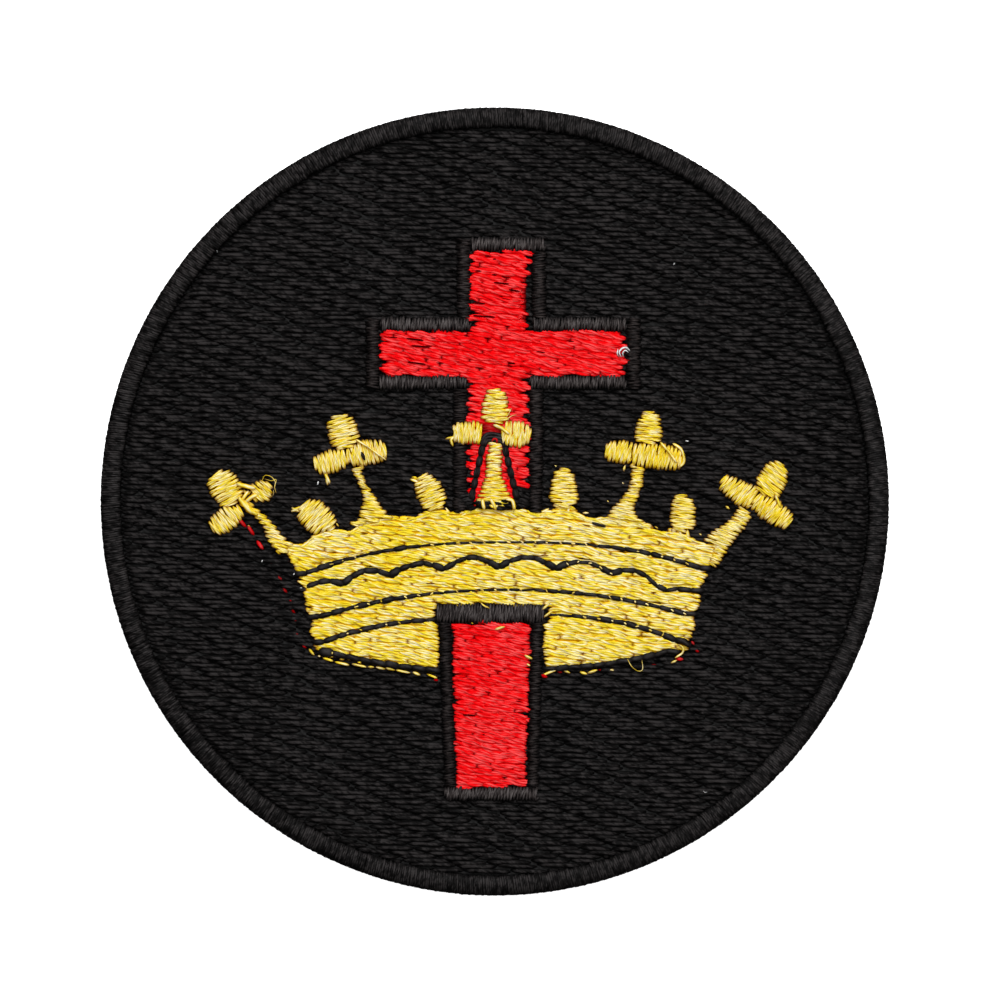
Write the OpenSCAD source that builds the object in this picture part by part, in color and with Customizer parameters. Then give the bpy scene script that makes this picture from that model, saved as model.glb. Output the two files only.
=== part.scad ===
// A round embroidered patch: a cross through a crown, stitched on a black ground.
// Lengths are millimetres. The patch lies flat, its face is +Z and the top of the emblem is +Y.
// The origin is the middle of the back face.

/* [Patch] */
// Diameter over the border
patch_d = 76.2; // [72:0.1:90]
// Thickness of the cloth with its backing
cloth_t = 1; // [0.8:0.05:1.3]
// Thickness of the stitched black ground
ground_t = 0.4; // [0.25:0.05:0.6]

/* [Border] */
// Width of the stitched border
border_w = 1.85; // [1.7:0.05:3]
// Rise of the border's crest over the ground
border_rise = 0.7; // [0.4:0.05:0.9]
// How far the cloth's pressed rim reaches into the border
rim_reach = 1.15; // [0.8:0.05:1.3]
// Thickness of the pressed rim
rim_t = 0.4; // [0.2:0.05:0.5]

/* [Stitching] */
// Thickness of the coloured fills on the ground
fill_t = 0.35; // [0.2:0.05:0.45]
// Height of the satin stitching on the ground
satin_t = 0.55; // [0.5:0.05:0.8]
// Height of the satin stitching that lies on a fill
over_t = 0.4; // [0.3:0.05:0.6]
// Height of a running line on the crown
line_t = 0.25; // [0.15:0.05:0.4]
// Width of a running line on the crown
line_w = 0.65; // [0.4:0.05:0.9]
// Space left between stitched pieces
gap = 0.05; // [0.03:0.01:0.1]

/* [Cross] */
// Height of the cross's arm over the patch's centre
arm_y = 14.3; // [13.5:0.1:15]
// Middle of the arm, right of the patch's centre
arm_x = 0.8; // [0:0.05:1.2]
// Length of the arm from end to end
arm_span = 23.8; // [20:0.1:26]
// Thickness of the arm
arm_w = 4.25; // [3.5:0.05:4.8]
// Length of the head above the arm
head_len = 7.7; // [6:0.1:8.4]
// Middle of the head, right of the patch's centre
head_x = 0.65; // [0:0.05:1]
// Width of the head
head_w = 5.9; // [5:0.05:7]
// Middle of the shaft, right of the patch's centre
shaft_x = 0.3; // [0:0.05:0.6]
// Width of the shaft
shaft_w = 5.95; // [5.4:0.05:6.6]
// Width of the black outline
outline_w = 1.25; // [0.9:0.05:1.5]

/* [Foot of the cross] */
// Middle of the foot, left of the patch's centre
foot_x = -0.35; // [-0.8:0.05:0.3]
// Height of the foot's red fill
foot_h = 15.8; // [13:0.1:16.5]
// Width of the foot at its top
foot_top_w = 7.75; // [6.8:0.05:8.4]
// Width of the foot at its bottom
foot_low_w = 6.8; // [6:0.05:8.4]
// Width of the foot's side bars
frame_w = 1.05; // [0.8:0.05:1.4]
// Height of the bar over the foot
lintel_h = 1.8; // [1.3:0.05:2.1]
// How far the bar over the foot stands out past the side bars
lintel_out = 0.2; // [0.1:0.05:0.5]
// Depth of the foot's top below the crest of the crown
foot_drop = 11.25; // [10.9:0.05:12.5]

/* [Crown] */
// Middle of the crown, right of the patch's centre
crown_x = 0.7; // [0.4:0.05:1]
// Crest of the crown's band, from the patch's centre
crown_y = -0.5; // [-1:0.05:0]
// Width of the crown's band at its top
crown_w = 42.2; // [40:0.1:44]
// Width of the crown's band at its lower edge
hem_w = 36.6; // [35:0.1:39]
// Height of the crown's band at its middle
crown_h = 16.8; // [16.4:0.1:18]
// Fall of the top edge from its crest to its ends
crest_fall = 3.75; // [3:0.05:4.2]
// Rise of the lower edge from its middle to its ends
hem_rise = 3; // [2.5:0.05:3.5]
// How far the band's sides bow in
side_bow = 0.5; // [0.2:0.05:0.7]
// Depth of the scoops in the top edge, between the fleurons and buds
scoop_h = 0.5; // [0.2:0.05:0.7]
// Height of a scallop on the scalloped line
scallop_h = 1.1; // [0.6:0.05:1.2]

/* [Fleurons and buds] */
// Height of a fleuron's top leaf over the band's top edge
fleuron_h = 10; // [9.6:0.1:10.6]
// Length of a fleuron's leaf
leaf_l = 3.5; // [3.2:0.05:3.8]
// Width of a fleuron's leaf
leaf_w = 2.6; // [2.3:0.05:2.8]
// Width of a fleuron's stem where it leaves the leaves
stem_w = 1.3; // [1:0.05:1.6]
// Width of the black strips beside the centre stem
strip_w = 0.75; // [0.6:0.05:0.8]
// Length of a bud
bud_l = 3.7; // [3.2:0.05:4]
// Width of a bud
bud_w = 2.6; // [2.2:0.05:2.8]

/* [Hidden] */
$fn = 96;

// Colours of the threads and the cloth
black_thread = [0.07, 0.065, 0.07];
black_cloth = [0.10, 0.10, 0.10];
red_thread = [0.86, 0.06, 0.08];
gold_thread = [0.93, 0.77, 0.22];

// Heights of the layers
ground_z = cloth_t + ground_t;
fill_z = ground_z + fill_t;
border_h = ground_z + border_rise;
over_z = fill_z + over_t;

// Radii of the patch
patch_r = patch_d / 2;
face_r = patch_r - border_w;

// A satin strip's side wall, as a share of its height
side_share = 0.35;
// Sides of a leaf's outline
leaf_sides = 32;
// Steps along the band's top edge, its other edges and a running line
top_steps = 120;
bow_steps = 40;
side_steps = 8;
scallop_steps = 8;
// Reach of a cutting shape past what it cuts
reach = 1;

function up(x, power) = pow(abs(x), power);
function sign_power(x, power) = sign(x) * up(x, power);

// Height of a bowed edge over its ends' level, at x
function bow(x, half, crest, fall, power) = crest - fall * up(x / half, power);

// Scoops in the top edge: where each starts and ends, as shares of half the band's width
SCOOPS = [
    [-0.96, -0.87], [-0.74, -0.66], [-0.5, -0.35], [-0.25, -0.15],
    [0.08, 0.24], [0.34, 0.47], [0.64, 0.78], [0.86, 0.95]];

// Sum of the scoops' depths at a place given as a share of half the band's width
function scoop(across, i = 0) =
    i == len(SCOOPS) ? 0 :
    let (t = (across - SCOOPS[i][0]) / (SCOOPS[i][1] - SCOOPS[i][0]))
        (t > 0 && t < 1 ? scoop_h * sin(180 * t) : 0) + scoop(across, i + 1);

// The band's top edge and lower edge, measured from the middle of the crown, grown by g
function band_crest(x) = bow(x, crown_w / 2, crown_y, crest_fall, 2);
function band_top(x, g = 0) = band_crest(x) - scoop(2 * x / crown_w) + g;
function band_hem(x, g = 0) = bow(x, hem_w / 2, crown_y - crown_h, -hem_rise, 2) - g;

// Places of n + 1 steps from one end to the other
function steps(from, to, n) = [for (i = [0:n]) from + (to - from) * i / n];

// The band's right side from top to bottom without its end points, grown by g
function band_side(g) =
    let (top = [crown_w / 2, band_crest(crown_w / 2)], low = [hem_w / 2, band_hem(hem_w / 2)])
    [for (i = [1:side_steps - 1])
        let (t = i / side_steps)
            top + (low - top) * t + [g - side_bow * sin(180 * t), 0]];

// Outline of a leaf or bud that lies along X, from the last four shares of its row, grown by g
function leaf_outline(row, long, wide, g = 0) =
    let (half_l = row[3] * long / 2 + g, half_w = row[4] * wide / 2 + g, flare = row[5], power = 2 / row[6])
    [for (i = [0:leaf_sides - 1])
        let (a = 360 * i / leaf_sides,
             along = sign_power(cos(a), power),
             share = 1 - abs(flare) * (1 + sign(flare) * along) / 2)
            [half_l * along, half_w * share * sign_power(sin(a), power)]];

// Outline of the crown's band, grown by g on every side
function band_outline(g = 0) =
    let (side = band_side(g), n = len(side) - 1)
    concat(
        [for (x = steps(-crown_w / 2 - g, crown_w / 2 + g, top_steps)) [x, band_top(x, g)]],
        side,
        [for (x = steps(hem_w / 2 + g, -hem_w / 2 - g, bow_steps)) [x, band_hem(x, g)]],
        [for (i = [n:-1:0]) [-side[i][0], side[i][1]]]);

// A straight satin strip along X, with its middle at the origin and a round top
module strip(len, wid, high) {
    side = high * side_share;
    rise = high - side;
    r = (wid * wid / 4 + rise * rise) / (2 * rise);
    rotate([90, 0, 90])
        linear_extrude(len, center = true)
            intersection() {
                translate([-wid / 2, 0]) square([wid, high]);
                translate([0, high - r]) circle(r);
            }
}

// A satin strip that fills the box from x0, y0 to x1, y1
module strip_box(x0, x1, y0, y1, high = satin_t) {
    wide = x1 - x0;
    tall = y1 - y0;
    translate([(x0 + x1) / 2, (y0 + y1) / 2, ground_z])
        if (wide > tall) strip(wide, tall, high);
        else rotate(90) strip(tall, wide, high);
}

// A domed leaf or bud along X, with its middle at the origin
module pad(row, long, wide, high) {
    intersection() {
        linear_extrude(high) polygon(leaf_outline(row, long, wide));
        strip(row[3] * long + reach, row[4] * wide, high);
    }
}

// The cloth and the stitched ground

module base_cloth() {
    color(black_cloth) union() {
        cylinder(h = cloth_t, r = face_r - gap);
        translate([0, 0, (cloth_t - rim_t) / 2]) cylinder(h = rim_t, r = face_r + rim_reach);
    }
}

module ground_fill() {
    color(black_thread) translate([0, 0, cloth_t]) cylinder(h = ground_t, r = face_r - gap);
}

// Half of the border's height rounds its outer side
module border_section() {
    round_r = border_h / 2;
    outer_x = patch_r - round_r;
    inner_x = min(outer_x, face_r + round_r);
    rim_z = (cloth_t - rim_t) / 2;
    difference() {
        union() {
            intersection() {
                union() {
                    translate([outer_x, round_r]) circle(round_r);
                    translate([inner_x, round_r]) circle(round_r);
                    translate([inner_x, 0]) square([outer_x - inner_x + gap, border_h]);
                }
                translate([face_r, 0]) square([border_w, border_h]);
            }
            translate([face_r, 0]) square([outer_x - face_r, round_r]);
        }
        translate([face_r - reach, rim_z - gap]) square([reach + rim_reach + gap, rim_t + 2 * gap]);
    }
}

module edge_border() {
    color(black_thread) rotate_extrude() border_section();
}

// The cross

head_left = head_x - head_w / 2;
head_right = head_x + head_w / 2;
head_top = arm_y + arm_w / 2 + head_len;
arm_left = arm_x - arm_span / 2;
arm_right = arm_x + arm_span / 2;
arm_low = arm_y - arm_w / 2;
arm_high = arm_y + arm_w / 2;
shaft_left = shaft_x - shaft_w / 2;
shaft_right = shaft_x + shaft_w / 2;
// The shaft's pieces are drawn down to here and cut back from the crown's band
shaft_low = crown_y - scoop_h - reach;

// Plan of the upper cross, grown by g
module cross_plan(g = 0) {
    translate([head_left - g, arm_y]) square([head_w + 2 * g, head_top - arm_y + g]);
    translate([arm_left - g, arm_low - g]) square([arm_span + 2 * g, arm_w + 2 * g]);
    translate([shaft_left - g, shaft_low - g]) square([shaft_w + 2 * g, arm_y - shaft_low + g]);
}

module cross_fill() {
    color(red_thread) translate([0, 0, ground_z])
        difference() {
            linear_extrude(fill_t) cross_plan();
            band_cut();
        }
}

// The outline's bars meet end to side round the cross
module outline_bar(x0, x1, y0, y1) {
    color(black_thread) strip_box(x0, x1, y0, y1);
}

outer_left = arm_left - gap - outline_w;
outer_right = arm_right + gap + outline_w;

module outline_head_top() outline_bar(
    head_left, head_right + gap + outline_w, head_top + gap, head_top + gap + outline_w);

module outline_head_left() outline_bar(
    head_left - gap - outline_w, head_left - gap, arm_high + gap + outline_w + gap, head_top + outline_w);

module outline_head_right() outline_bar(
    head_right + gap, head_right + gap + outline_w, arm_high + gap + outline_w + gap, head_top);

module outline_left_upper() outline_bar(
    arm_left, head_left - gap, arm_high + gap, arm_high + gap + outline_w);

module outline_left_end() outline_bar(
    outer_left, arm_left - gap, arm_low - outline_w, arm_high + outline_w);

module outline_left_lower() outline_bar(
    arm_left, shaft_left - gap, arm_low - gap - outline_w, arm_low - gap);

module outline_right_upper() outline_bar(
    head_right + gap, arm_right, arm_high + gap, arm_high + gap + outline_w);

module outline_right_end() outline_bar(
    arm_right + gap, outer_right, arm_low - outline_w, arm_high + outline_w);

module outline_right_lower() outline_bar(
    shaft_right + gap, arm_right, arm_low - gap - outline_w, arm_low - gap);

shaft_bar_top = arm_low - gap - outline_w - gap;

// The left bar of the shaft passes under the side leaf of the centre fleuron, so it is in two lengths
module outline_shaft_left_high() {
    color(black_thread) difference() {
        strip_box(shaft_left - gap - outline_w, shaft_left - gap, leaf_spot(LEFT_3)[1], shaft_bar_top);
        leaf_cut(LEFT_3);
    }
}

module outline_shaft_left_low() {
    color(black_thread) difference() {
        strip_box(shaft_left - gap - outline_w, shaft_left - gap, shaft_low, leaf_spot(LEFT_3)[1]);
        leaf_cut(LEFT_3);
        translate([0, 0, ground_z]) band_cut();
    }
}

module outline_shaft_right() {
    color(black_thread) difference() {
        strip_box(shaft_right + gap, shaft_right + gap + outline_w, shaft_low, shaft_bar_top);
        leaf_cut(RIGHT_3);
        translate([0, 0, ground_z]) band_cut();
    }
}

// The foot of the cross, which stands on the crown and below it

foot_top = crown_y - foot_drop;
foot_low = foot_top - foot_h;
frame_top = foot_top + gap + lintel_h;
foot_lean = atan((foot_top_w - foot_low_w) / 2 / foot_h);

module foot_fill() {
    color(red_thread) translate([foot_x, 0, ground_z])
        linear_extrude(fill_t) polygon([
            [-foot_top_w / 2, foot_top], [foot_top_w / 2, foot_top],
            [foot_low_w / 2, foot_low], [-foot_low_w / 2, foot_low]]);
}

frame_out = foot_top_w / 2 + gap + frame_w;

lintel_half = frame_out + lintel_out;

module foot_frame_top() {
    color(black_thread)
        strip_box(foot_x - lintel_half, foot_x + lintel_half, foot_top + gap, frame_top);
}

// A side bar leans with the edge of the fill
module foot_side(side) {
    middle = (foot_top_w + foot_low_w) / 4 + (gap + frame_w / 2) / cos(foot_lean);
    color(black_thread) intersection() {
        translate([foot_x + side * middle, (foot_top + foot_low) / 2, ground_z])
            rotate(90 - side * foot_lean) strip(foot_h + 2 * reach, frame_w, satin_t);
        translate([foot_x - frame_out, foot_low, 0]) cube([2 * frame_out, foot_h, over_z]);
    }
}

module foot_frame_left() foot_side(-1);
module foot_frame_right() foot_side(1);

module foot_frame_bottom() {
    low_out = foot_low_w / 2 + gap + frame_w;
    color(black_thread)
        strip_box(foot_x - low_out, foot_x + low_out, foot_low - gap - outline_w, foot_low - gap);
}

// The crown

// The band grown by the gap, for cutting what ends on it
module band_cut() {
    translate([crown_x, 0, -reach])
        linear_extrude(over_z + reach) polygon(band_outline(gap));
}

// The frame round the foot grown by the gap, open downwards
module foot_cut() {
    translate([foot_x - frame_out - gap, foot_low, 0])
        cube([2 * (frame_out + gap), frame_top - foot_low, over_z + reach]);
    translate([foot_x - lintel_half - gap, foot_top, 0])
        cube([2 * (lintel_half + gap), lintel_h + 2 * gap, over_z + reach]);
}

module crown_band() {
    color(gold_thread) difference() {
        translate([crown_x, 0, ground_z]) linear_extrude(fill_t) polygon(band_outline());
        foot_cut();
    }
}

// Running lines. A row gives a line's half width and the shift of its crest as shares of half the
// band's width, how far its crest lies below the band's and how far its ends fall as shares of the
// band's height, and the power of its bow.
// Columns: half width, shift, crest, fall, power
UPPER = [0.957, 0.037, 0.204, 0.19, 2.6];
MIDDLE = [0.883, 0.023, 0.477, 0.164, 2.1];
LENS_LEFT = [0.86, 0, 0.641, 0.158, 3];
LENS_RIGHT = [0.84, 0, 0.618, 0.175, 3];
HEM_LEFT = [0.83, 0, 0.96, -0.129, 1.85];
HEM_RIGHT = [0.8, 0, 0.934, -0.118, 2.6];

// Outline of a ribbon of the line's width along a list of points
function ribbon(pts) =
    let (n = len(pts) - 1,
         way = [for (i = [0:n]) pts[min(i + 1, n)] - pts[max(i - 1, 0)]],
         side = [for (d = way) [-d[1], d[0]] / norm(d) * line_w / 2])
    concat([for (i = [0:n]) pts[i] + side[i]], [for (i = [n:-1:0]) pts[i] - side[i]]);

// The line's points from one share of its half width to another
function line_points(row, from, to) =
    let (half = row[0] * crown_w / 2)
    [for (x = steps(from * half, to * half, bow_steps))
        [x, bow(x - row[1] * crown_w / 2, half, crown_y - row[2] * crown_h, row[3] * crown_h, row[4])]];

// A line lies on the band and nowhere past its edge
module on_band() {
    color(black_thread) translate([crown_x, 0, fill_z])
        linear_extrude(line_t)
            intersection() {
                children();
                polygon(band_outline());
            }
}

module running_line(row, from = -1, to = 1) {
    difference() {
        on_band() polygon(ribbon(line_points(row, from, to)));
        foot_cut();
    }
}

module line_upper() running_line(UPPER);
module line_middle() running_line(MIDDLE);
module line_lens_left() running_line(LENS_LEFT, to = 0);
module line_lens_right() running_line(LENS_RIGHT, from = 0);
module line_hem_left() running_line(HEM_LEFT, to = 0);
module line_hem_right() running_line(HEM_RIGHT, from = 0);

// Cusps of the scalloped line: place as a share of half the band's width, depth below the band's
// crest as a share of the band's height, and height of the scallop that follows as a share of scallop_h
// Columns: across, depth, scallop
CUSPS = [
    [-0.89, 0.46, 0.42], [-0.73, 0.445, 0.88], [-0.515, 0.397, 0.8], [-0.26, 0.36, 1.03], [-0.018, 0.351, 1],
    [0.245, 0.356, 0.83], [0.5, 0.385, 1], [0.73, 0.482, 0.3], [0.935, 0.505, 0]];

module line_scalloped() {
    spots = [for (c = CUSPS) [c[0] * crown_w / 2, crown_y - c[1] * crown_h]];
    last = len(CUSPS) - 2;
    middle = [
        for (k = [0:last], j = [0:(k == last ? scallop_steps : scallop_steps - 1)])
            let (t = j / scallop_steps)
                spots[k] + (spots[k + 1] - spots[k]) * t + [0, CUSPS[k][2] * scallop_h * sin(180 * t)]];
    m = len(middle) - 1;
    on_band() polygon(concat(
        [for (i = [0:m]) middle[i] + [0, line_w / 2]],
        [for (i = [m:-1:0]) middle[i] - [0, line_w / 2]]));
}

// Fleurons. A leaf's place is given by shares: across is of half the band's width from its middle,
// high is of fleuron_h over the bow of the band's top edge, turn is the way its long axis points,
// and length and width are shares of leaf_l and leaf_w. Flare is how much narrower its far end is,
// or its near end where it is below 0, and full is how square its outline is, 2 for an ellipse.
// Columns: across, high, turn, length, width, flare, full
TOP_1 = [-1.265, 0.775, 126, 1, 1.13, 0, 2.6];
LEFT_1 = [-1.263, 0.478, 36, 0.99, 0.84, 0, 2.6];
RIGHT_1 = [-1.1, 0.605, 6, 0.56, 0.74, 0, 3];
TOP_2 = [-0.729, 0.922, 104, 0.95, 1.12, 0.1, 2.7];
LEFT_2 = [-0.785, 0.664, 17, 0.93, 0.86, -0.12, 2.9];
RIGHT_2 = [-0.62, 0.664, 8, 1.07, 0.88, 0, 3.4];
TOP_3 = [-0.03, 0.971, 93, 0.94, 1.14, 0.38, 3.3];
LEFT_3 = [-0.159, 0.723, 0, 0.79, 0.87, -0.15, 4.5];
RIGHT_3 = [0.064, 0.703, -6, 0.82, 1, 0.15, 2.9];
TOP_4 = [0.674, 0.938, 84, 0.92, 1.16, 0.44, 3];
LEFT_4 = [0.535, 0.636, -5, 0.78, 0.9, -0.25, 3.6];
RIGHT_4 = [0.711, 0.677, -6, 1.41, 0.92, 0, 4];
TOP_5 = [1.238, 0.84, 66, 1, 1.14, 0.22, 2.4];
LEFT_5 = [1.083, 0.592, -29, 1.1, 0.96, -0.3, 3.2];
RIGHT_5 = [1.235, 0.531, -35, 1.2, 0.92, 0.15, 2.8];

// Place on the patch of a point given by its shares across and high
function on_crown(across, high) =
    let (x = across * crown_w / 2) [crown_x + x, band_crest(x) + high * fleuron_h];

function leaf_spot(row) = on_crown(row[0], row[1]);

module place_leaf(row, high = satin_t) {
    spot = leaf_spot(row);
    translate([spot[0], spot[1], ground_z]) rotate(row[2]) pad(row, leaf_l, leaf_w, high);
}

// A leaf's outline grown by the gap, as a tall block for cutting its neighbours
module leaf_cut(row) {
    spot = leaf_spot(row);
    translate([spot[0], spot[1], 0])
        rotate(row[2]) linear_extrude(over_z + reach) polygon(leaf_outline(row, leaf_l, leaf_w, gap));
}

// A leaf on the ground, cut back where it meets the leaves that were stitched before it
module leaf(row) {
    color(gold_thread) difference() {
        place_leaf(row);
        children();
    }
}

// A leaf of the centre fleuron lies over the red fill and steps down past its edge
module over_leaf(row) {
    color(gold_thread) difference() {
        place_leaf(row, high = fill_t + over_t);
        translate([0, 0, ground_z]) linear_extrude(fill_t) cross_plan(gap);
        children();
    }
}

module leaf_1_top() leaf(TOP_1);
module leaf_1_left() leaf(LEFT_1) leaf_cut(TOP_1);
module leaf_1_right() leaf(RIGHT_1) leaf_cut(TOP_1);
module leaf_2_top() leaf(TOP_2);
module leaf_2_left() leaf(LEFT_2) leaf_cut(TOP_2);
module leaf_2_right() leaf(RIGHT_2) { leaf_cut(TOP_2); leaf_cut(LEFT_2); }
module leaf_3_top() over_leaf(TOP_3);
module leaf_3_left() over_leaf(LEFT_3) leaf_cut(TOP_3);
module leaf_3_right() over_leaf(RIGHT_3) leaf_cut(TOP_3);
module leaf_4_top() leaf(TOP_4);
module leaf_4_left() leaf(LEFT_4) { leaf_cut(TOP_4); leaf_cut(RIGHT_4); }
module leaf_4_right() leaf(RIGHT_4) leaf_cut(TOP_4);
module leaf_5_top() leaf(TOP_5);
module leaf_5_left() leaf(LEFT_5) { leaf_cut(TOP_5); leaf_cut(RIGHT_5); }
module leaf_5_right() leaf(RIGHT_5) leaf_cut(TOP_5);

// Stems. Each row is a station from the band's edge up to the leaves.
// Columns: across and high of the station's middle, as for a leaf, and width as a share of stem_w
STEM_1 = [
    [-0.99, -0.05, 1.1], [-1.023, 0.07, 1.25], [-1.052, 0.19, 1.03],
    [-1.087, 0.31, 0.76], [-1.125, 0.415, 0.46], [-1.19, 0.57, 0.66]];
STEM_2 = [
    [-0.59, -0.08, 2.9], [-0.593, 0.09, 1.75], [-0.605, 0.175, 1.15],
    [-0.615, 0.26, 0.66], [-0.633, 0.345, 0.47], [-0.649, 0.43, 0.48], [-0.672, 0.6, 0.74]];
STEM_3 = [
    [-0.037, -0.08, 2.8], [-0.037, 0.07, 2.5], [-0.037, 0.15, 1.95],
    [-0.037, 0.3, 1.15], [-0.03, 0.62, 0.9]];
STEM_4 = [
    [0.545, -0.1, 3], [0.552, 0.02, 2.15], [0.565, 0.11, 1.4], [0.585, 0.19, 1],
    [0.601, 0.28, 0.86], [0.619, 0.4, 0.82], [0.623, 0.56, 0.9]];
STEM_5 = [
    [0.93, -0.18, 1.95], [0.998, 0.05, 1.68], [1.05, 0.19, 1.25],
    [1.089, 0.316, 1.08], [1.115, 0.43, 1.1]];

// Outline of a stem: its right side going up, then its left side coming down
function stem_outline(rows) =
    let (pts = [for (r = rows) on_crown(r[0], r[1])],
         n = len(pts) - 1,
         way = [for (i = [0:n]) pts[min(i + 1, n)] - pts[max(i - 1, 0)]],
         side = [for (i = [0:n]) [way[i][1], -way[i][0]] / norm(way[i]) * rows[i][2] * stem_w / 2])
    concat([for (i = [0:n]) pts[i] + side[i]], [for (i = [n:-1:0]) pts[i] - side[i]]);

// A stem is cut back from the band and from the leaves that it carries
module stem(rows, z = ground_z, high = satin_t) {
    low = on_crown(rows[0][0], rows[0][1]);
    top = on_crown(rows[len(rows) - 1][0], rows[len(rows) - 1][1]);
    way = top - low;
    color(gold_thread) difference() {
        intersection() {
            translate([0, 0, z]) linear_extrude(high) polygon(stem_outline(rows));
            translate([(low[0] + top[0]) / 2, (low[1] + top[1]) / 2, z])
                rotate(atan2(way[1], way[0])) strip(2 * norm(way), rows[0][2] * stem_w, high);
        }
        translate([0, 0, ground_z]) band_cut();
        children();
    }
}

module stem_1() stem(STEM_1) { leaf_cut(TOP_1); leaf_cut(LEFT_1); leaf_cut(RIGHT_1); }
module stem_2() stem(STEM_2) { leaf_cut(LEFT_2); leaf_cut(RIGHT_2); }
module stem_3() stem(STEM_3, fill_z, over_t) leaf_cut(TOP_3);
module stem_4() stem(STEM_4) { leaf_cut(LEFT_4); leaf_cut(RIGHT_4); }
module stem_5() stem(STEM_5) { leaf_cut(LEFT_5); leaf_cut(RIGHT_5); }

// The centre stem grown by the gap, for cutting the strips beside it
module centre_stem_cut() {
    grown = [for (r = STEM_3) [r[0], r[1], r[2] + 2 * gap / stem_w]];
    linear_extrude(over_z + reach) polygon(stem_outline(grown));
}

// Black strips beside the centre stem, between two places given as shares
// Columns: across and high of the lower end, across and high of the upper end
EDGE_LEFT = [-0.15, 0.07, -0.08, 0.6];
EDGE_RIGHT = [0.075, 0.07, 0.012, 0.6];
// The top strip spans the two across and rests at this high
EDGE_TOP = [-0.088, 0.028, 0.655];

module stem_edge(row) {
    low = on_crown(row[0], row[1]);
    top = on_crown(row[2], row[3]);
    way = top - low;
    color(black_thread) difference() {
        translate([(low[0] + top[0]) / 2, (low[1] + top[1]) / 2, fill_z])
            rotate(atan2(way[1], way[0])) strip(norm(way), strip_w, over_t);
        centre_stem_cut();
        leaf_cut(LEFT_3);
        leaf_cut(RIGHT_3);
        translate([0, 0, ground_z]) band_cut();
    }
}

module stem_edge_left() stem_edge(EDGE_LEFT);
module stem_edge_right() stem_edge(EDGE_RIGHT);

module stem_edge_top() {
    left = on_crown(EDGE_TOP[0], EDGE_TOP[2]);
    right = on_crown(EDGE_TOP[1], EDGE_TOP[2]);
    color(black_thread) difference() {
        translate([(left[0] + right[0]) / 2, left[1], fill_z])
            strip(right[0] - left[0], strip_w, over_t);
        centre_stem_cut();
        leaf_cut(LEFT_3);
        leaf_cut(RIGHT_3);
    }
}

// Buds, with the columns of a leaf, whose length and width are shares of bud_l and bud_w
BUD_1 = [-0.849, 0.16, 137, 1.04, 1.07, 0, 2.7];
BUD_2 = [-0.331, 0.175, 114, 1, 1.06, 0.16, 2.5];
BUD_3 = [0.283, 0.212, 92, 1.02, 1.22, 0.4, 2.6];
BUD_4 = [0.827, 0.188, 92, 0.97, 1.03, 0.2, 2.7];

module bud(row) {
    spot = on_crown(row[0], row[1]);
    color(gold_thread) difference() {
        translate([spot[0], spot[1], ground_z]) rotate(row[2]) pad(row, bud_l, bud_w, satin_t);
        translate([0, 0, ground_z]) band_cut();
    }
}

module bud_1() bud(BUD_1);
module bud_2() bud(BUD_2);
module bud_3() bud(BUD_3);
module bud_4() bud(BUD_4);

base_cloth();
ground_fill();
edge_border();
cross_fill();
foot_fill();
crown_band();
outline_head_top();
outline_head_left();
outline_head_right();
outline_left_upper();
outline_left_end();
outline_left_lower();
outline_right_upper();
outline_right_end();
outline_right_lower();
outline_shaft_left_high();
outline_shaft_left_low();
outline_shaft_right();
foot_frame_top();
foot_frame_left();
foot_frame_right();
foot_frame_bottom();
line_upper();
line_scalloped();
line_middle();
line_lens_left();
line_lens_right();
line_hem_left();
line_hem_right();
stem_1();
stem_2();
stem_3();
stem_4();
stem_5();
leaf_1_top();
leaf_1_left();
leaf_1_right();
leaf_2_top();
leaf_2_left();
leaf_2_right();
leaf_3_top();
leaf_3_left();
leaf_3_right();
leaf_4_top();
leaf_4_left();
leaf_4_right();
leaf_5_top();
leaf_5_left();
leaf_5_right();
stem_edge_left();
stem_edge_right();
stem_edge_top();
bud_1();
bud_2();
bud_3();
bud_4();
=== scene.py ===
"""Round embroidered patch: a red cross through a gold crown, with every stitch laid as thread.

Sizes are millimetres and turned into metres where a mesh is made. The patch lies flat, its face is +Z and
the top of the emblem is +Y.
"""
import math
import bpy
import numpy as np
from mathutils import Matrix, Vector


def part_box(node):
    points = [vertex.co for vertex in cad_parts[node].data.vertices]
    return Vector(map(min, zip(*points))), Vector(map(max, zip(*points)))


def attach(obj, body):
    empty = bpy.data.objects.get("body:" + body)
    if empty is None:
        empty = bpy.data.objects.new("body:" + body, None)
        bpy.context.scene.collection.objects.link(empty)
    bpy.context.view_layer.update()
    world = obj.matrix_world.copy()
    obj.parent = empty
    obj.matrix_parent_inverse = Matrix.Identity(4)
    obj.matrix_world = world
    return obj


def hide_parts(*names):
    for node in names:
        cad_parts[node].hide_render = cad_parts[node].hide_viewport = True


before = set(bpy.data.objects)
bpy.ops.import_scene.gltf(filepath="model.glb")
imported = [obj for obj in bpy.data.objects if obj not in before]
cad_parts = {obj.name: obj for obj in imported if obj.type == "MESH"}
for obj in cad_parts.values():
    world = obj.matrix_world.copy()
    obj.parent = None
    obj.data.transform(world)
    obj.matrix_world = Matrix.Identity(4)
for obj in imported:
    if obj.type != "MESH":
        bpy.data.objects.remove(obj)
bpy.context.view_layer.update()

MM = 0.001
TURN = 2 * math.pi
# How far the corners of a flat underside may differ in level
SLACK = 0.01


# Sizes read from the frame

def high_corner(node):
    return np.array(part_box(node)[1]) / MM


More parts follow.
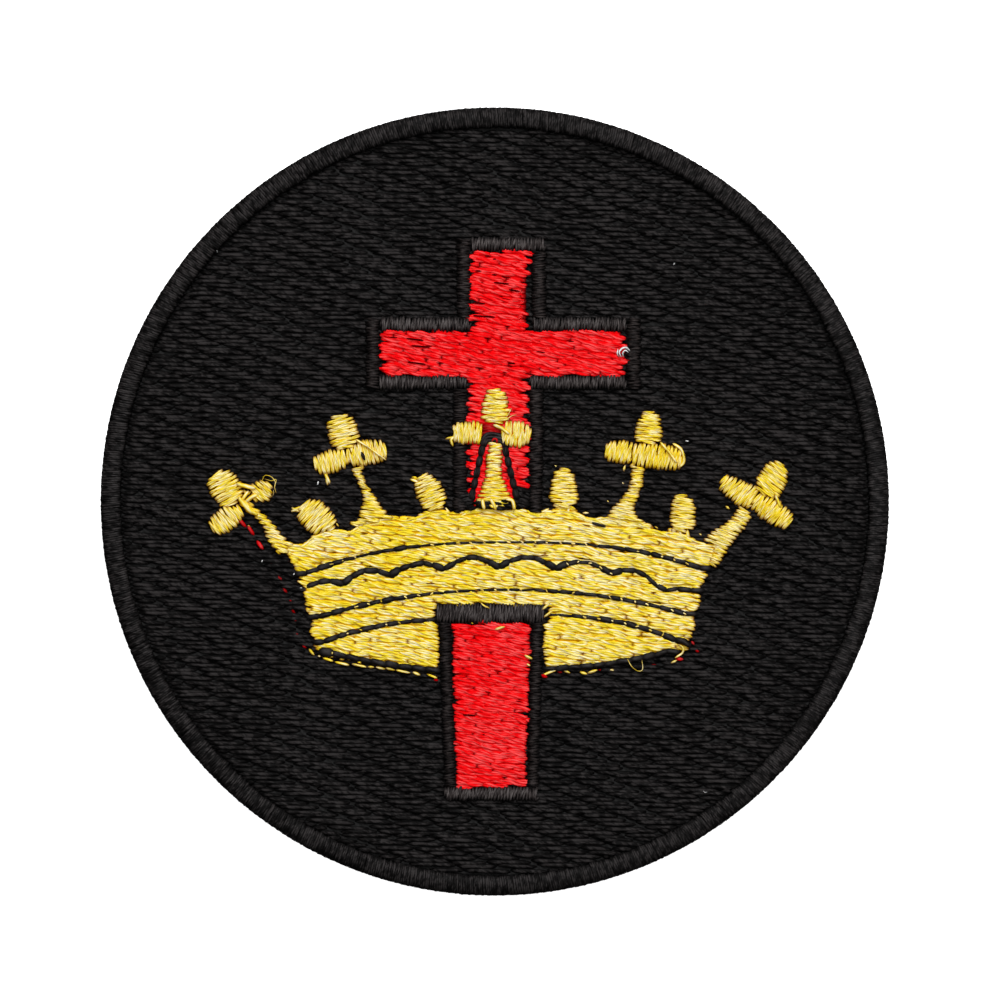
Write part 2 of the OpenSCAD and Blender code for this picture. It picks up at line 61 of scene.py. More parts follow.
PATCH_R = high_corner("edge_border")[0]
FACE_R = high_corner("ground_fill")[0]
CLOTH_Z = high_corner("base_cloth")[2]
GROUND_Z = high_corner("ground_fill")[2]
FILL_Z = high_corner("crown_band")[2]
BORDER_Z = high_corner("edge_border")[2]
SATIN_Z = high_corner("outline_head_top")[2]
OVER_Z = high_corner("leaf_3_top")[2]
RIM_R = high_corner("base_cloth")[0]

# Threads: length of one twist, depth of the grooves between plies as a share of the half width, and how
# round the section is, where 1 is an ellipse and less is flatter on top
PLY_PITCH = 3.5
PLY_DEPTH = 0.14
THREAD_ROUND = 0.75
# Two plies of one thread: how far each lies from the middle, and its size, as shares of the thread's
PLY_OUT = 0.23
PLY_W = 0.58
PLY_H = 0.8

# Rows of the black ground, as measured on the stitches: their pitch, the length of a stitch, how far the
# needle holes move on from row to row and where they start, and how far a stitch leans
GROUND_ROW = 0.41
GROUND_STITCH = 3.87
GROUND_STEP = 0.97
GROUND_START = 1.7
GROUND_LEAN = 0.05
# A loose thread's stations are this far apart, and its ends go under over this length
TRAIL_STEP = 0.1
TRAIL_END = 0.25


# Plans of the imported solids, seen from above

def plan(node):
    """Edges round a node's underside, as an array of pairs of points."""
    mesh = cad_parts[node].data
    points = np.array([v.co[:] for v in mesh.vertices]) / MM
    floor = points[:, 2].min()
    count = {}
    for face in mesh.polygons:
        corners = [points[i] for i in face.vertices]
        if face.normal.z > -0.9 or max(p[2] for p in corners) > floor + SLACK:
            continue
        keys = [(round(p[0], 3), round(p[1], 3)) for p in corners]
        for a, b in zip(keys, keys[1:] + keys[:1]):
            edge = (min(a, b), max(a, b))
            count[edge] = count.get(edge, 0) + 1
    return np.array([edge for edge, times in count.items() if times == 1])


def round_plan(node):
    """Edges round the hull of a node seen from above, for a leaf that steps down past the red fill."""
    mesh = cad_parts[node].data
    spots = sorted({(round(v.co.x / MM, 3), round(v.co.y / MM, 3)) for v in mesh.vertices})

    def chain(points):
        side = []
        for p in points:
            while len(side) > 1 and turn_of(side[-2], side[-1], p) <= 0:
                side.pop()
            side.append(p)
        return side[:-1]

    return closed(chain(spots) + chain(spots[::-1]))


def turn_of(a, b, c):
    """Above 0 where the way from a past b to c turns left."""
    return (b[0] - a[0]) * (c[1] - a[1]) - (b[1] - a[1]) * (c[0] - a[0])


def box_plan(x0, x1, y0, y1):
    return closed([(x0, y0), (x1, y0), (x1, y1), (x0, y1)])


def closed(ring):
    """Edges from each point of a ring to the next, the last one back to the first."""
    return np.array(list(zip(ring, ring[1:] + ring[:1])))


class Rows:
    """Straight rows across a plan, at an angle in degrees. Places along and across a row are u and v."""

    def __init__(self, edges, angle):
        self.c = math.cos(math.radians(angle))
        self.s = math.sin(math.radians(angle))
        x, y = edges[:, :, 0], edges[:, :, 1]
        self.u = x * self.c + y * self.s
        self.v = y * self.c - x * self.s

    def span(self):
        return self.v.min(), self.v.max()

    def at(self, v):
        """Stretches of the row at v that lie inside the plan."""
        v0, v1 = self.v[:, 0], self.v[:, 1]
        crossed = (v0 <= v) != (v1 <= v)
        u0, u1 = self.u[crossed, 0], self.u[crossed, 1]
        share = (v - v0[crossed]) / (v1[crossed] - v0[crossed])
        cuts = np.sort(u0 + (u1 - u0) * share)
        return list(zip(cuts[0::2], cuts[1::2]))

    def spot(self, u, v):
        return np.array([u * self.c - v * self.s, u * self.s + v * self.c])


# How many waves a swell adds up
WAVES = 7


def swell(rng, shortest, longest):
    """A smooth wandering field over the patch, about -1 to 1, from waves between two lengths."""
    way = rng.uniform(0, TURN, WAVES)
    wave = TURN / rng.uniform(shortest, longest, WAVES)
    shift = rng.uniform(0, TURN, WAVES)
    kx, ky = wave * np.cos(way), wave * np.sin(way)

    def field(x, y):
        x, y = np.asarray(x, float), np.asarray(y, float)
        return np.sin(x[..., None] * kx + y[..., None] * ky + shift).sum(-1) / math.sqrt(WAVES)

    return field


def fuller(wave, power):
    """A sine or cosine swollen towards a square wave, where power is below 1."""
    return np.sign(wave) * np.abs(wave) ** power


# Threads

class Sewing:
    """The stitches of one piece, gathered and then made one mesh of closed tubes.

    pair lays each stitch as two twisted plies, warp moves its places in plan, dip says how far they are
    pulled down, and hole_shade_reach is how far from its needle holes a stitch takes painted shade.
    """

    def __init__(self, seed, sides=6, plies=PLY_DEPTH, pair=False, warp=None, dip=None, hole_shade_reach=0.5):
        self.sides = sides
        self.hole_shade_reach = hole_shade_reach
        self.rng = np.random.default_rng(seed)
        self.plies = plies
        self.pair = pair
        self.warp = warp
        self.dip = dip
        self.points = []
        self.quads = []
        self.fans = []
        self.quad_uv = []
        self.fan_uv = []
        self.quad_tone = []
        self.fan_tone = []
        self.total = 0

    def tube(self, path, half_w, half_h, side=None, tone=None, unshaded=None):
        """One closed thread along path, with its half width and half height at each station."""
        n, s = len(path), self.sides
        way = np.gradient(path, axis=0)
        way /= np.linalg.norm(way, axis=1)[:, None]
        if side is None:
            side = np.cross(way, (0, 0, 1.0))
        side = side / np.linalg.norm(side, axis=1)[:, None]
        up = np.cross(side, way)
        step = np.linalg.norm(np.diff(path, axis=0), axis=1)
        along = np.concatenate([[0], np.cumsum(step)]) / PLY_PITCH + self.rng.uniform(0, 1)
        round_it = np.arange(s) / s
        turn = TURN * (round_it[None, :] + along[:, None])
        lobe = 1 - self.plies * (1 - np.abs(np.cos(turn)))
        out = fuller(np.cos(TURN * round_it), THREAD_ROUND)
        over = fuller(np.sin(TURN * round_it), THREAD_ROUND)
        ring = (
            path[:, None]
            + side[:, None] * (out * half_w[:, None] * lobe)[..., None]
            + up[:, None] * (over * half_h[:, None] * lobe)[..., None]
        )
        tips = np.array([path[0] - way[0] * half_h[0] * 0.5, path[-1] + way[-1] * half_h[-1] * 0.5])
        self.points.append(np.concatenate([ring.reshape(-1, 3), tips]))

        i, j = np.meshgrid(np.arange(n - 1), np.arange(s), indexing="ij")
        i, j = i.ravel(), j.ravel()
        k = (j + 1) % s
        base = self.total
        self.quads.append(base + np.stack([i * s + j, i * s + k, (i + 1) * s + k, (i + 1) * s + j], 1))
        u0, u1 = along[i], along[i + 1]
        v0, v1 = j / s, (j + 1) / s
        self.quad_uv.append(np.stack([u0, v0, u0, v1, u1, v1, u1, v0], 1))
        j = np.arange(s)
        k = (j + 1) % s
        first, last = base + n * s, base + n * s + 1
        end = (n - 1) * s + base
        self.fans.append(np.stack([np.full(s, first), base + k, base + j], 1))
        self.fans.append(np.stack([np.full(s, last), end + j, end + k], 1))
        mid = (j + 0.5) / s
        for u, (p, q) in ((along[0], (j + 1, j)), (along[-1], (j, j + 1))):
            self.fan_uv.append(np.stack([np.full(s, u), mid, np.full(s, u), p / s, np.full(s, u), q / s], 1))
        tone = self.rng.uniform(0, 1) if tone is None else tone
        # How clear each station is of painted needle-hole shade, carried in the tone layer beside the
        # stitch's random tone
        unshaded = np.ones(n) if unshaded is None else unshaded
        f0, f1 = unshaded[i], unshaded[i + 1]
        t = np.full(len(i), tone)
        self.quad_tone.append(np.stack([t, f0, t, f0, t, f1, t, f1], 1))
        t = np.full(s, tone)
        for f in (unshaded[0], unshaded[-1]):
            f = np.full(s, f)
            self.fan_tone.append(np.stack([t, f, t, f, t, f], 1))
        self.total += n * s + 2

    def lay(self, start, end, low, high, width, thick, spacing, shoulder=0.45,
            bow=0.0, taper=0.5, tone=None, gentle=False, dark=(1, 1)):
        """A stitch from one needle hole to the next: it comes up at low, lies at high and goes down again.

        spacing is the distance between its stations, shoulder the length over which it rises and bow how
        far it bends aside. taper is the share of the width left at its ends, one for both or a pair, and
        dark is how much painted needle-hole shade each end takes.
        """
        start, end = np.asarray(start, float), np.asarray(end, float)
        length = np.linalg.norm(end - start)
        n = max(6, int(math.ceil(length / spacing)) + 1)
        even = np.linspace(0, 1, n)
        t = 0.5 * even + 0.25 * (1 - np.cos(math.pi * even))
        away = np.minimum(t, 1 - t) * length
        reach = min(shoulder, length / 2)
        near = 1 - np.minimum(1, away / reach)
        rise = (1 - near) ** 2 * (1 + 2 * near) if gentle else np.sqrt(1 - near ** 2)
        way = (end - start) / length
        across = np.array([-way[1], way[0]])
        flat = start + (end - start) * t[:, None] + across * (bow * np.sin(math.pi * t))[:, None]
        x, y = flat[:, 0], flat[:, 1]
        if self.warp:
            dx, dy = self.warp(x, y)
            x, y = x + dx, y + dy
        z = low + (high - thick / 2 - low) * rise
        if self.dip:
            z = z - self.dip(x, y) * rise
        left = np.where(t < 0.5, *np.broadcast_to(taper, 2))
        full = left + (1 - left) * np.minimum(1, away / (0.7 * reach)) ** 0.7
        # Painted needle-hole shade, strongest at the holes and gone at the piece's reach from them
        shade = 1 - np.minimum(1, away / self.hole_shade_reach)
        unshaded = 1 - shade * np.where(t < 0.5, *dark)
        path = np.stack([x, y, z], 1)
        if not self.pair:
            self.tube(path, width / 2 * full, thick / 2 * full, tone=tone, unshaded=unshaded)
            return
        turn = TURN * (t * length / PLY_PITCH + self.rng.uniform(0, 1))
        out = fuller(np.cos(turn), THREAD_ROUND) * PLY_OUT * width * full
        over = np.sin(turn) * (1 - PLY_H) / 2 * thick * full
        off = np.column_stack([across[0] * out, across[1] * out, over])
        for ply in (off, -off):
            self.tube(path + ply, PLY_W * width / 2 * full, PLY_H * thick / 2 * full, tone=tone, unshaded=unshaded)

    def trail(self, points, width, level, lift=0.0, sink=0.12, tone=0.8, lit=1.0):
        """A loose thread on a smooth curve through points, lying at level and going under at its ends.

        lit is 1 for a thread in its own colours and 0 for one all in the painted needle-hole shade; its ends,
        where it goes under, take part of that painted shade.
        """
        p = np.array(points, float)
        p = np.concatenate([[2 * p[0] - p[1]], p, [2 * p[-1] - p[-2]]])
        curve = [p[1:2]]
        for a, b, c, d in zip(p, p[1:], p[2:], p[3:]):
            count = max(2, int(np.linalg.norm(c - b) / TRAIL_STEP))
            t = (np.arange(1, count + 1) / count)[:, None]
            cubic = (3 * b - a - 3 * c + d) * t ** 3
            curve.append(0.5 * (2 * b + (c - a) * t + (2 * a - 5 * b + 4 * c - d) * t ** 2 + cubic))
        curve = np.concatenate(curve)
        n = len(curve)
        share = np.linspace(0, 1, n)
        ends = np.minimum(1, np.minimum(share, 1 - share) * n * TRAIL_STEP / TRAIL_END)
        z = level + width / 2 + lift * np.sin(math.pi * share) - sink * (1 - ends)
        full = 0.45 + 0.55 * ends
        # Painted shade: the ends where the thread goes under darken, and lit dims the whole thread
        self.tube(
            np.column_stack([curve, z]), width / 2 * full, width / 2 * full, tone=tone,
            unshaded=lit * (0.5 + 0.5 * ends))

    def piece(self, name, nodes, finish, slot):
        """Makes the mesh, and hangs it in the place of its CAD nodes."""
        points = np.concatenate(self.points) * MM
        quads, fans = np.concatenate(self.quads), np.concatenate(self.fans)
        mesh = bpy.data.meshes.new(name)
        mesh.vertices.add(len(points))
        mesh.vertices.foreach_set("co", points.astype(np.float32).ravel())
        corners = np.concatenate([quads.ravel(), fans.ravel()]).astype(np.int32)
        mesh.loops.add(len(corners))
        mesh.loops.foreach_set("vertex_index", corners)
        sizes = np.concatenate([np.full(len(quads), 4), np.full(len(fans), 3)])
        starts = np.concatenate([[0], np.cumsum(sizes)[:-1]]).astype(np.int32)
        mesh.polygons.add(len(sizes))
        mesh.polygons.foreach_set("loop_start", starts)
        mesh.update(calc_edges=True)
        mesh.polygons.foreach_set("use_smooth", np.ones(len(sizes), bool))
        for layer, of_quads, of_fans in (
            ("twist", self.quad_uv, self.fan_uv),
            ("tone", self.quad_tone, self.fan_tone),
        ):
            uv = mesh.uv_layers.new(name=layer)
            flat = np.concatenate([np.concatenate(of_quads).ravel(), np.concatenate(of_fans).ravel()])
            uv.data.foreach_set("uv", flat.astype(np.float32))
        mesh.validate()
        hang(name, mesh, nodes, finish)


def put(name, data):
    """Links a new object into the scene."""
    made = bpy.data.objects.new(name, data)
    bpy.context.scene.collection.objects.link(made)
    return made


def hang(name, mesh, nodes, finish):
    """Makes a mesh a piece of the patch, in its finish and in the place of its CAD nodes."""
    made = put(name, mesh)
    mesh.materials.append(finish)
    if nodes:
        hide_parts(*nodes)
    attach(made, "root")
    return made


# Finishes

class Flow:
    """A shader socket that Python's operators work on. A number or another flow may stand beside it."""

    def __init__(self, tree, socket):
        self.tree = tree
        self.socket = socket

    def math(self, operation, *others):
        node = self.tree.nodes.new("ShaderNodeMath")
        node.operation = operation
        for place, value in zip(node.inputs, (self, *others)):
            connect(self.tree, place, value)
        return Flow(self.tree, node.outputs[0])

    def __add__(self, other):
        return self.math("ADD", other)

    __radd__ = __add__

    def __mul__(self, other):
        return self.math("MULTIPLY", other)

    __rmul__ = __mul__

    def __sub__(self, other):
        return self.math("SUBTRACT", other)

    def __rsub__(self, other):
        return (self * -1) + other

    def __pow__(self, power):
        return self.math("POWER", power)

    def cos(self):
        return self.math("COSINE")

    def between(self, low, high):
        """0 below low, 1 above high and a straight ramp between them."""
        return ((self - low) * (1 / (high - low))).math("MINIMUM", 1).math("MAXIMUM", 0)


def connect(tree, place, value):
    if isinstance(value, Flow):
        tree.links.new(value.socket, place)
    else:
        place.default_value = value


class Finish:
    """A material being mixed, or the light of the world."""

    def __init__(self, owner):
        self.owner = owner
        owner.use_nodes = True
        self.tree = owner.node_tree
        self.tree.nodes.clear()

    def node(self, kind, settings=None, sockets=None, out=0):
        """Any node: its settings are set first, then the values or flows of its sockets."""
        made = self.tree.nodes.new(kind)
        for key, value in (settings or {}).items():
            setattr(made, key, value)
        for key, value in (sockets or {}).items():
            connect(self.tree, made.inputs[key], value)
        return Flow(self.tree, made.outputs[out]) if made.outputs else None

    def parts(self, vector):
        """The three numbers of a vector."""
        first = self.node("ShaderNodeSeparateXYZ", sockets={0: vector})
        return [Flow(self.tree, output) for output in first.socket.node.outputs]

    def uv(self, layer):
        return self.parts(self.node("ShaderNodeUVMap", {"uv_map": layer}))[:2]

    def place(self):
        return self.node("ShaderNodeTexCoord", out=3)

    def noise(self, vector, scale, detail=2, rough=0.5):
        sockets = {"Vector": vector, "Scale": scale, "Detail": detail, "Roughness": rough}
        return self.node("ShaderNodeTexNoise", sockets=sockets)

    def mottle(self, size, detail=2):
        """Noise over the patch with features of a size in millimetres."""
        return self.noise(self.place(), 1 / (size * MM), detail=detail)

    def mix(self, share, first, second):
        """A colour between two others."""
        return self.node("ShaderNodeMix", {"data_type": "RGBA"}, {0: share, 6: first, 7: second}, out=2)

    def bump(self, height, depth):
        """depth is in millimetres."""
        sockets = {"Height": height, "Distance": depth * MM, "Strength": 1.0}
        return self.node("ShaderNodeBump", sockets=sockets)

    def done(self, **sockets):
        """Ends the mix: the shader's sockets are named with _ for a space."""
        shader = self.node(
            "ShaderNodeBsdfPrincipled",
            sockets={key.replace("_", " "): value for key, value in sockets.items()})
        self.node("ShaderNodeOutputMaterial", sockets={"Surface": shader})
        return self.owner


def rgba(colour):
    return (*colour, 1.0)


# Sizes of the broad patches and of the small spots in which thread is darker or paler
PATCH_SIZE = 7
BLOT_SIZE = 0.7
# How fine the filaments are along and around a thread, and how far they shift from stitch to stitch
FIBRE_ALONG = 2.2
FIBRE_AROUND = 3.2
FIBRE_SHIFT = 40
# Base level of a thread's colour, and how much painted highlight its crest adds and painted shading its plies
# add
BASE_LEVEL = 0.19
CREST_HIGHLIGHT = 0.34
PLY_SHADING = 0.1


def thread_finish(name, deep, body, painted_highlight, rough, gloss, side=None, hole=None, patchy=0.25, groove=0.1,
                  streak=0.6, grain=1.0, strand=0.14, blot=0.0, glow=(0, 0, 0)):
    """Thread of twisted filaments, with a painted highlight along its crest and painted shading across its
    plies, in broad patches.

    Its sides turn to side and its ends at the needle holes to hole, both painted shade, or to a duller deep
    where they aren't given. streak is how strongly its filaments show, partly as grain and partly as
    painted highlight streaks, and grain how fine they are, strand is how much one stitch differs from the
    next, blot is how strongly small spots differ, and glow is a painted glow, light that the thread gives
    off itself to lift its shaded parts.
    """
    f = Finish(bpy.data.materials.new(name))
    painted_shade = tuple(0.7 * c for c in deep)
    along, around = f.uv("twist")
    tone, clear_of_hole_shade = f.uv("tone")
    wound = along + around
    ply = (wound * TURN).cos() ** 2
    crest = ((around - 0.25) * TURN).cos()
    twisted = f.node(
        "ShaderNodeCombineXYZ",
        sockets={0: along * FIBRE_ALONG, 1: wound * FIBRE_AROUND, 2: tone * FIBRE_SHIFT})
    fibre = f.noise(twisted, grain, detail=3, rough=0.6)
    ridge = crest.between(0.5, 1.0)
    # Painted highlight on each ply's crest and painted shading along the twist of the plies; the filament
    # streaks are partly grain and partly painted highlight
    level = fibre * streak + ridge * CREST_HIGHLIGHT + ply * PLY_SHADING + tone * strand
    level = level + (f.mottle(PATCH_SIZE) - 0.5) * patchy
    if blot:
        level = level + (f.mottle(BLOT_SIZE) - 0.5) * blot
    level = level + (BASE_LEVEL - (streak + strand) / 2)
    base = f.mix(level.between(0.25, 0.5), rgba(deep), rgba(body))
    # Painted highlight on the crest of each ply
    base = f.mix(level.between(0.5, 0.7) * crest.between(0.72, 0.97), base, rgba(painted_highlight))
    # Painted shade down the sides of each thread
    base = f.mix(crest.between(0.2, 0.85), rgba(side or painted_shade), base)
    # Painted shade at the needle holes
    base = f.mix(clear_of_hole_shade.between(0.0, 0.9), rgba(hole or side or painted_shade), base)
    rough_flow = fibre * 0.2 + (rough - 0.1) + (1 - clear_of_hole_shade.between(0.2, 1.0)) * 0.3
    normal = f.bump(ply * 0.6 + fibre * 0.6, groove)
    sockets = {"Base_Color": base, "Roughness": rough_flow, "Specular_IOR_Level": gloss, "Normal": normal}
    # Painted glow: the thread gives off light of its own that lifts its shaded parts, none at the needle
    # holes
    if any(glow):
        sockets["Emission_Color"] = f.mix(clear_of_hole_shade.between(0.0, 0.5), rgba((0, 0, 0)), rgba(glow))
        sockets["Emission_Strength"] = 1.0
        f.owner.cycles.emission_sampling = "NONE"
    return f.done(**sockets)


# Twill: pitch of its ribs and of the threads across them
RIB_PITCH = 0.62
PICK_PITCH = 0.36


def cloth_finish(name):
    """Black twill with a stiff backing."""
    f = Finish(bpy.data.materials.new(name))
    x, y = f.parts(f.place())[:2]
    rib = ((x + y) * (TURN / (RIB_PITCH * MM))).cos()
    pick = ((x - y * 0.35) * (TURN / (PICK_PITCH * MM))).cos()
    fine = f.mottle(0.25)
    level = rib * 0.12 + pick * 0.08 + fine * 0.5 + f.mottle(9, detail=3) * 0.4
    base = f.mix(level.between(0.15, 0.75), rgba((0.0022, 0.0021, 0.0021)), rgba((0.0085, 0.008, 0.008)))
    normal = f.bump(rib * 0.5 + pick * 0.3 + fine * 0.5, 0.05)
    return f.done(Base_Color=base, Roughness=fine * 0.15 + 0.75, Specular_IOR_Level=0.25, Normal=normal)


# Each thread's colours are deep, body and a third that is a painted highlight; side and hole are painted
# shade on its sides and at its needle holes, and glow is a painted glow
GROUND_THREAD = thread_finish(
    "ground_thread", (0.0018, 0.0015, 0.0015), (0.0055, 0.0048, 0.0048), (0.021, 0.0185, 0.0185), 0.6, 0.06,
    side=(0.0026, 0.0023, 0.0023), hole=(0.0003, 0.0002, 0.0002), streak=2.6, patchy=0.4, grain=2.6, blot=1.6)
BORDER_THREAD = thread_finish(
    "border_thread", (0.0024, 0.0021, 0.0021), (0.0062, 0.0055, 0.0055), (0.026, 0.023, 0.023), 0.6, 0.08,
    streak=1.8, grain=2.2, strand=0.25, blot=1.1)
# Lit and shaded copies of the black bars' thread: the first is lighter, a painted highlight for bars whose
# threads lie up and down, the second darker, painted shade for the rest
LIT_OUTLINE_THREAD = thread_finish(
    "outline_thread", (0.008, 0.006, 0.006), (0.024, 0.0186, 0.018), (0.078, 0.067, 0.065), 0.5, 0.14,
    streak=1.2, grain=1.5)
SHADED_BAR_THREAD = thread_finish(
    "shaded_bar_thread", (0.0028, 0.002, 0.002), (0.0085, 0.006, 0.0058), (0.03, 0.0235, 0.0225), 0.55, 0.08,
    streak=1.4, grain=1.5, blot=0.5)
LINE_THREAD = thread_finish(
    "line_thread", (0.002, 0.0014, 0.0014), (0.0055, 0.004, 0.004), (0.016, 0.013, 0.013), 0.5, 0.14)
RED_THREAD = thread_finish(
    "red_thread", (0.62, 0.001, 0.0014), (0.62, 0.004, 0.006), (0.64, 0.075, 0.075), 0.45, 0.0,
    side=(0.62, 0.0004, 0.0008), hole=(0.05, 0.0002, 0.0004), glow=(0.15, 0.0003, 0.0006))
GOLD_THREAD = thread_finish(
    "gold_thread", (0.67, 0.49, 0.001), (0.66, 0.56, 0.03), (0.69, 0.69, 0.46), 0.42, 0.0,
    side=(0.74, 0.38, 0.0003), hole=(0.2, 0.055, 0.0002), streak=0.65, glow=(0.11, 0.04, 0.0))
WHITE_THREAD = thread_finish(
    "white_thread", (0.3, 0.3, 0.32), (0.62, 0.62, 0.62), (0.85, 0.85, 0.85), 0.45, 0.5)
CLOTH = cloth_finish("black_twill")


# The cloth

LATHE_STEPS = 200


def lathe(name, section, ring, nodes, finish):
    """Turns a section of (radius, height) pairs about the middle: a ring, or a disc closed at its middle."""
    points = []
    if not ring:
        points = [(0.0, 0.0, section[0][1] * MM), (0.0, 0.0, section[-1][1] * MM)]
        section = section[1:-1]
    base, rings = len(points), len(section)
    for r, z in section:
        for k in range(LATHE_STEPS):
            a = TURN * k / LATHE_STEPS
            points.append((r * math.cos(a) * MM, r * math.sin(a) * MM, z * MM))
    faces = []
    for k in range(LATHE_STEPS):
        m = (k + 1) % LATHE_STEPS
        for i in range(rings if ring else rings - 1):
            a, b = base + i * LATHE_STEPS, base + (i + 1) % rings * LATHE_STEPS
            faces.append((a + k, a + m, b + m, b + k))
        if not ring:
            top = base + (rings - 1) * LATHE_STEPS
            faces += [(0, base + m, base + k), (1, top + k, top + m)]
    mesh = bpy.data.meshes.new(name)
    mesh.from_pydata(points, [], faces)
    mesh.update()
    for layer in ("twist", "tone"):
        mesh.uv_layers.new(name=layer)
    return hang(name, mesh, nodes, finish)


def cloth_disc():
    """A lathe of the cloth's section: a flat disc whose rim is pressed thin inside the border."""
    rim_low, rim_high = rim_levels()
    section = [
        (0.0, 0.0), (FACE_R * 0.35, 0.0), (FACE_R * 0.7, 0.0), (FACE_R - 0.15, 0.0), (FACE_R, 0.12),
        (FACE_R, rim_low), (RIM_R - 0.08, rim_low), (RIM_R, rim_low + 0.08), (RIM_R, rim_high - 0.08),
        (RIM_R - 0.08, rim_high), (FACE_R, rim_high), (FACE_R, CLOTH_Z - 0.12), (FACE_R - 0.15, CLOTH_Z),
        (FACE_R * 0.7, CLOTH_Z), (FACE_R * 0.35, CLOTH_Z), (0.0, CLOTH_Z)]
    disc = lathe("cloth_disc", section, False, ["base_cloth"], CLOTH)


def rim_levels():
    """Lowest and highest level of the cloth's pressed rim."""
    heights = [
        v.co.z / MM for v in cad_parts["base_cloth"].data.vertices
        if math.hypot(v.co.x, v.co.y) / MM > FACE_R + 0.2]
    return min(heights), max(heights)


# The black ground

def ground_stitches():
    """Brick-laid rows: each row's needle holes lie a quarter stitch to the right of the row above."""
    rng = np.random.default_rng(11)
    sway = swell(rng, 9, 22)
    lift = swell(rng, 3, 8)
    upper, lower = Sewing(21, hole_shade_reach=0.9), Sewing(22, hole_shade_reach=0.9)
    radius = FACE_R - 0.05
    rows = int(2 * radius / GROUND_ROW)
    for row in range(1, rows):
        y = radius - row * GROUND_ROW
        half = math.sqrt(radius ** 2 - y ** 2)
        if half < 1.5:
            continue
        first = -half + (row * GROUND_STEP + half + GROUND_START) % GROUND_STITCH
        holes = [h for h in np.arange(first, half, GROUND_STITCH) if half - abs(h) > 0.9]
        holes = [-half] + [h + rng.normal(0, 0.24) for h in holes] + [half]
        levels = [y + rng.normal(0, 0.055) for _ in holes]
        sew = upper if y > 0 else lower
        for a, b, ya, yb in zip(holes, holes[1:], levels, levels[1:]):
            drift = 0.12 * sway((a + b) / 2, y)
            raised = 0.03 * lift((a + b) / 2, y) + rng.normal(0, 0.03)
            start, end = (a, ya + drift + GROUND_LEAN), (b, yb + drift - GROUND_LEAN)
            sew.lay(
                start, end, CLOTH_Z - 0.02, GROUND_Z + raised, width=rng.normal(0.47, 0.03), thick=0.26,
                shoulder=0.85, spacing=0.48, bow=rng.normal(0, 0.06), taper=0.4, gentle=True)
    upper.piece("ground_stitches_upper", ["ground_fill"], GROUND_THREAD, "ground_thread")
    lower.piece("ground_stitches_lower", ["ground_fill"], GROUND_THREAD, "ground_thread")


# The border

# Strands in a bunch, the bunches' pitch round the edge, how far a strand slants and how thick it is
STRANDS = 3
WRAP_PITCH = 0.66
WRAP_SLANT = 0.5
STRAND_H = 0.16
# Directions in which a strand is laid round the border, in degrees up from outward
WRAP_ARC = np.radians([132, 112, 92, 70, 46, 22, 0, -26, -56, -88])
# How full the arc is on the side of the ground, and on the outer side
WRAP_FULL = (0.6, 1.0)
# The padded ring: how far it lies below the strands, and its corner beside the ground
CORE_INSET = 0.14
CORE_R = FACE_R + 0.06


def border_wraps():
    """Overcast threads, in bunches of three strands, from the ground over the edge to the back."""
    sew = Sewing(31, sides=5, plies=0.12)
    rng = sew.rng
    mid_z = BORDER_Z / 2
    mid_r = PATCH_R - mid_z
    arc_r = mid_z - STRAND_H / 2
    bunches = int(TURN * PATCH_R / WRAP_PITCH)
    away, rising = np.cos(WRAP_ARC), np.sin(WRAP_ARC)
    full = np.where(away < 0, *WRAP_FULL)
    section_r = np.concatenate(
        [[FACE_R - 0.02], mid_r + arc_r * fuller(away, full), [FACE_R + 0.5, FACE_R + 0.12]])
    section_z = np.concatenate(
        [[GROUND_Z - 0.12], mid_z + arc_r * fuller(rising, full), [STRAND_H / 2, STRAND_H]])
    n = len(section_r)
    share = np.linspace(0, 1, n)
    for bunch in range(bunches):
        fat = rng.normal(0, 0.008)
        for strand in range(STRANDS):
            place = (bunch + (strand + 0.5) / STRANDS) / bunches * TURN
            crest = 0.025 * (1 - abs(strand - (STRANDS - 1) / 2)) + fat + rng.normal(0, 0.008)
            slant = WRAP_SLANT * (share - 0.25) / PATCH_R + rng.normal(0, 0.0006)
            a = place + slant
            grow = crest * np.sin(math.pi * np.clip(share * 1.1, 0, 1))
            start = rng.normal(0, 0.06) * (1 - share) ** 3
            r = section_r + start + grow * np.concatenate([[0], away, [0, 0]])
            z = section_z + grow * np.concatenate([[0], np.maximum(0, rising), [0, 0]])
            path = np.stack([r * np.cos(a), r * np.sin(a), z], 1)
            side = np.stack([np.sin(a), -np.cos(a), np.zeros(n)], 1)
            wide = np.full(n, 0.17)
            wide[0] = 0.1
            # Each strand's start, where it comes up beside the ground, takes painted needle-hole shade
            sew.tube(path, wide, np.full(n, STRAND_H / 2), side=side, unshaded=np.clip(share * 8, 0, 1))
    sew.piece("border_wraps", ["edge_border"], BORDER_THREAD, "border_thread")


def border_core():
    """The padded ring the border's threads are wrapped round."""
    half = BORDER_Z / 2
    core = half - CORE_INSET
    middle = PATCH_R - half
    section = [(CORE_R, CORE_INSET)]
    for turn in np.radians([-90, -60, -30, 0, 30, 60, 90, 115]):
        section.append((middle + core * math.cos(turn), half + core * math.sin(turn)))
    section.append((CORE_R, GROUND_Z - 0.1))
    lathe("border_core", section, True, ["edge_border"], BORDER_THREAD)


# Fills

# Share of a fill stitch's width left at the fill's edge, and at the needle holes inside it
EDGE_TAPER = 0.35
INNER_TAPER = 0.7
# A painted shadowed gap at a needle hole, a thread in the needle-hole painted shade: least and most half
# length, and width
GAP_HALF = (0.16, 0.5)
GAP_W = 0.1
# Rows of the red and gold fills: their pitch, a stitch's width and thickness, the lowest level of its
# ends, and the top of the padding below
FILL_ROW = 0.36
FILL_W = 0.5
FILL_H = 0.3
FILL_LOW = GROUND_Z + 0.08
PAD_Z = FILL_Z - 0.2
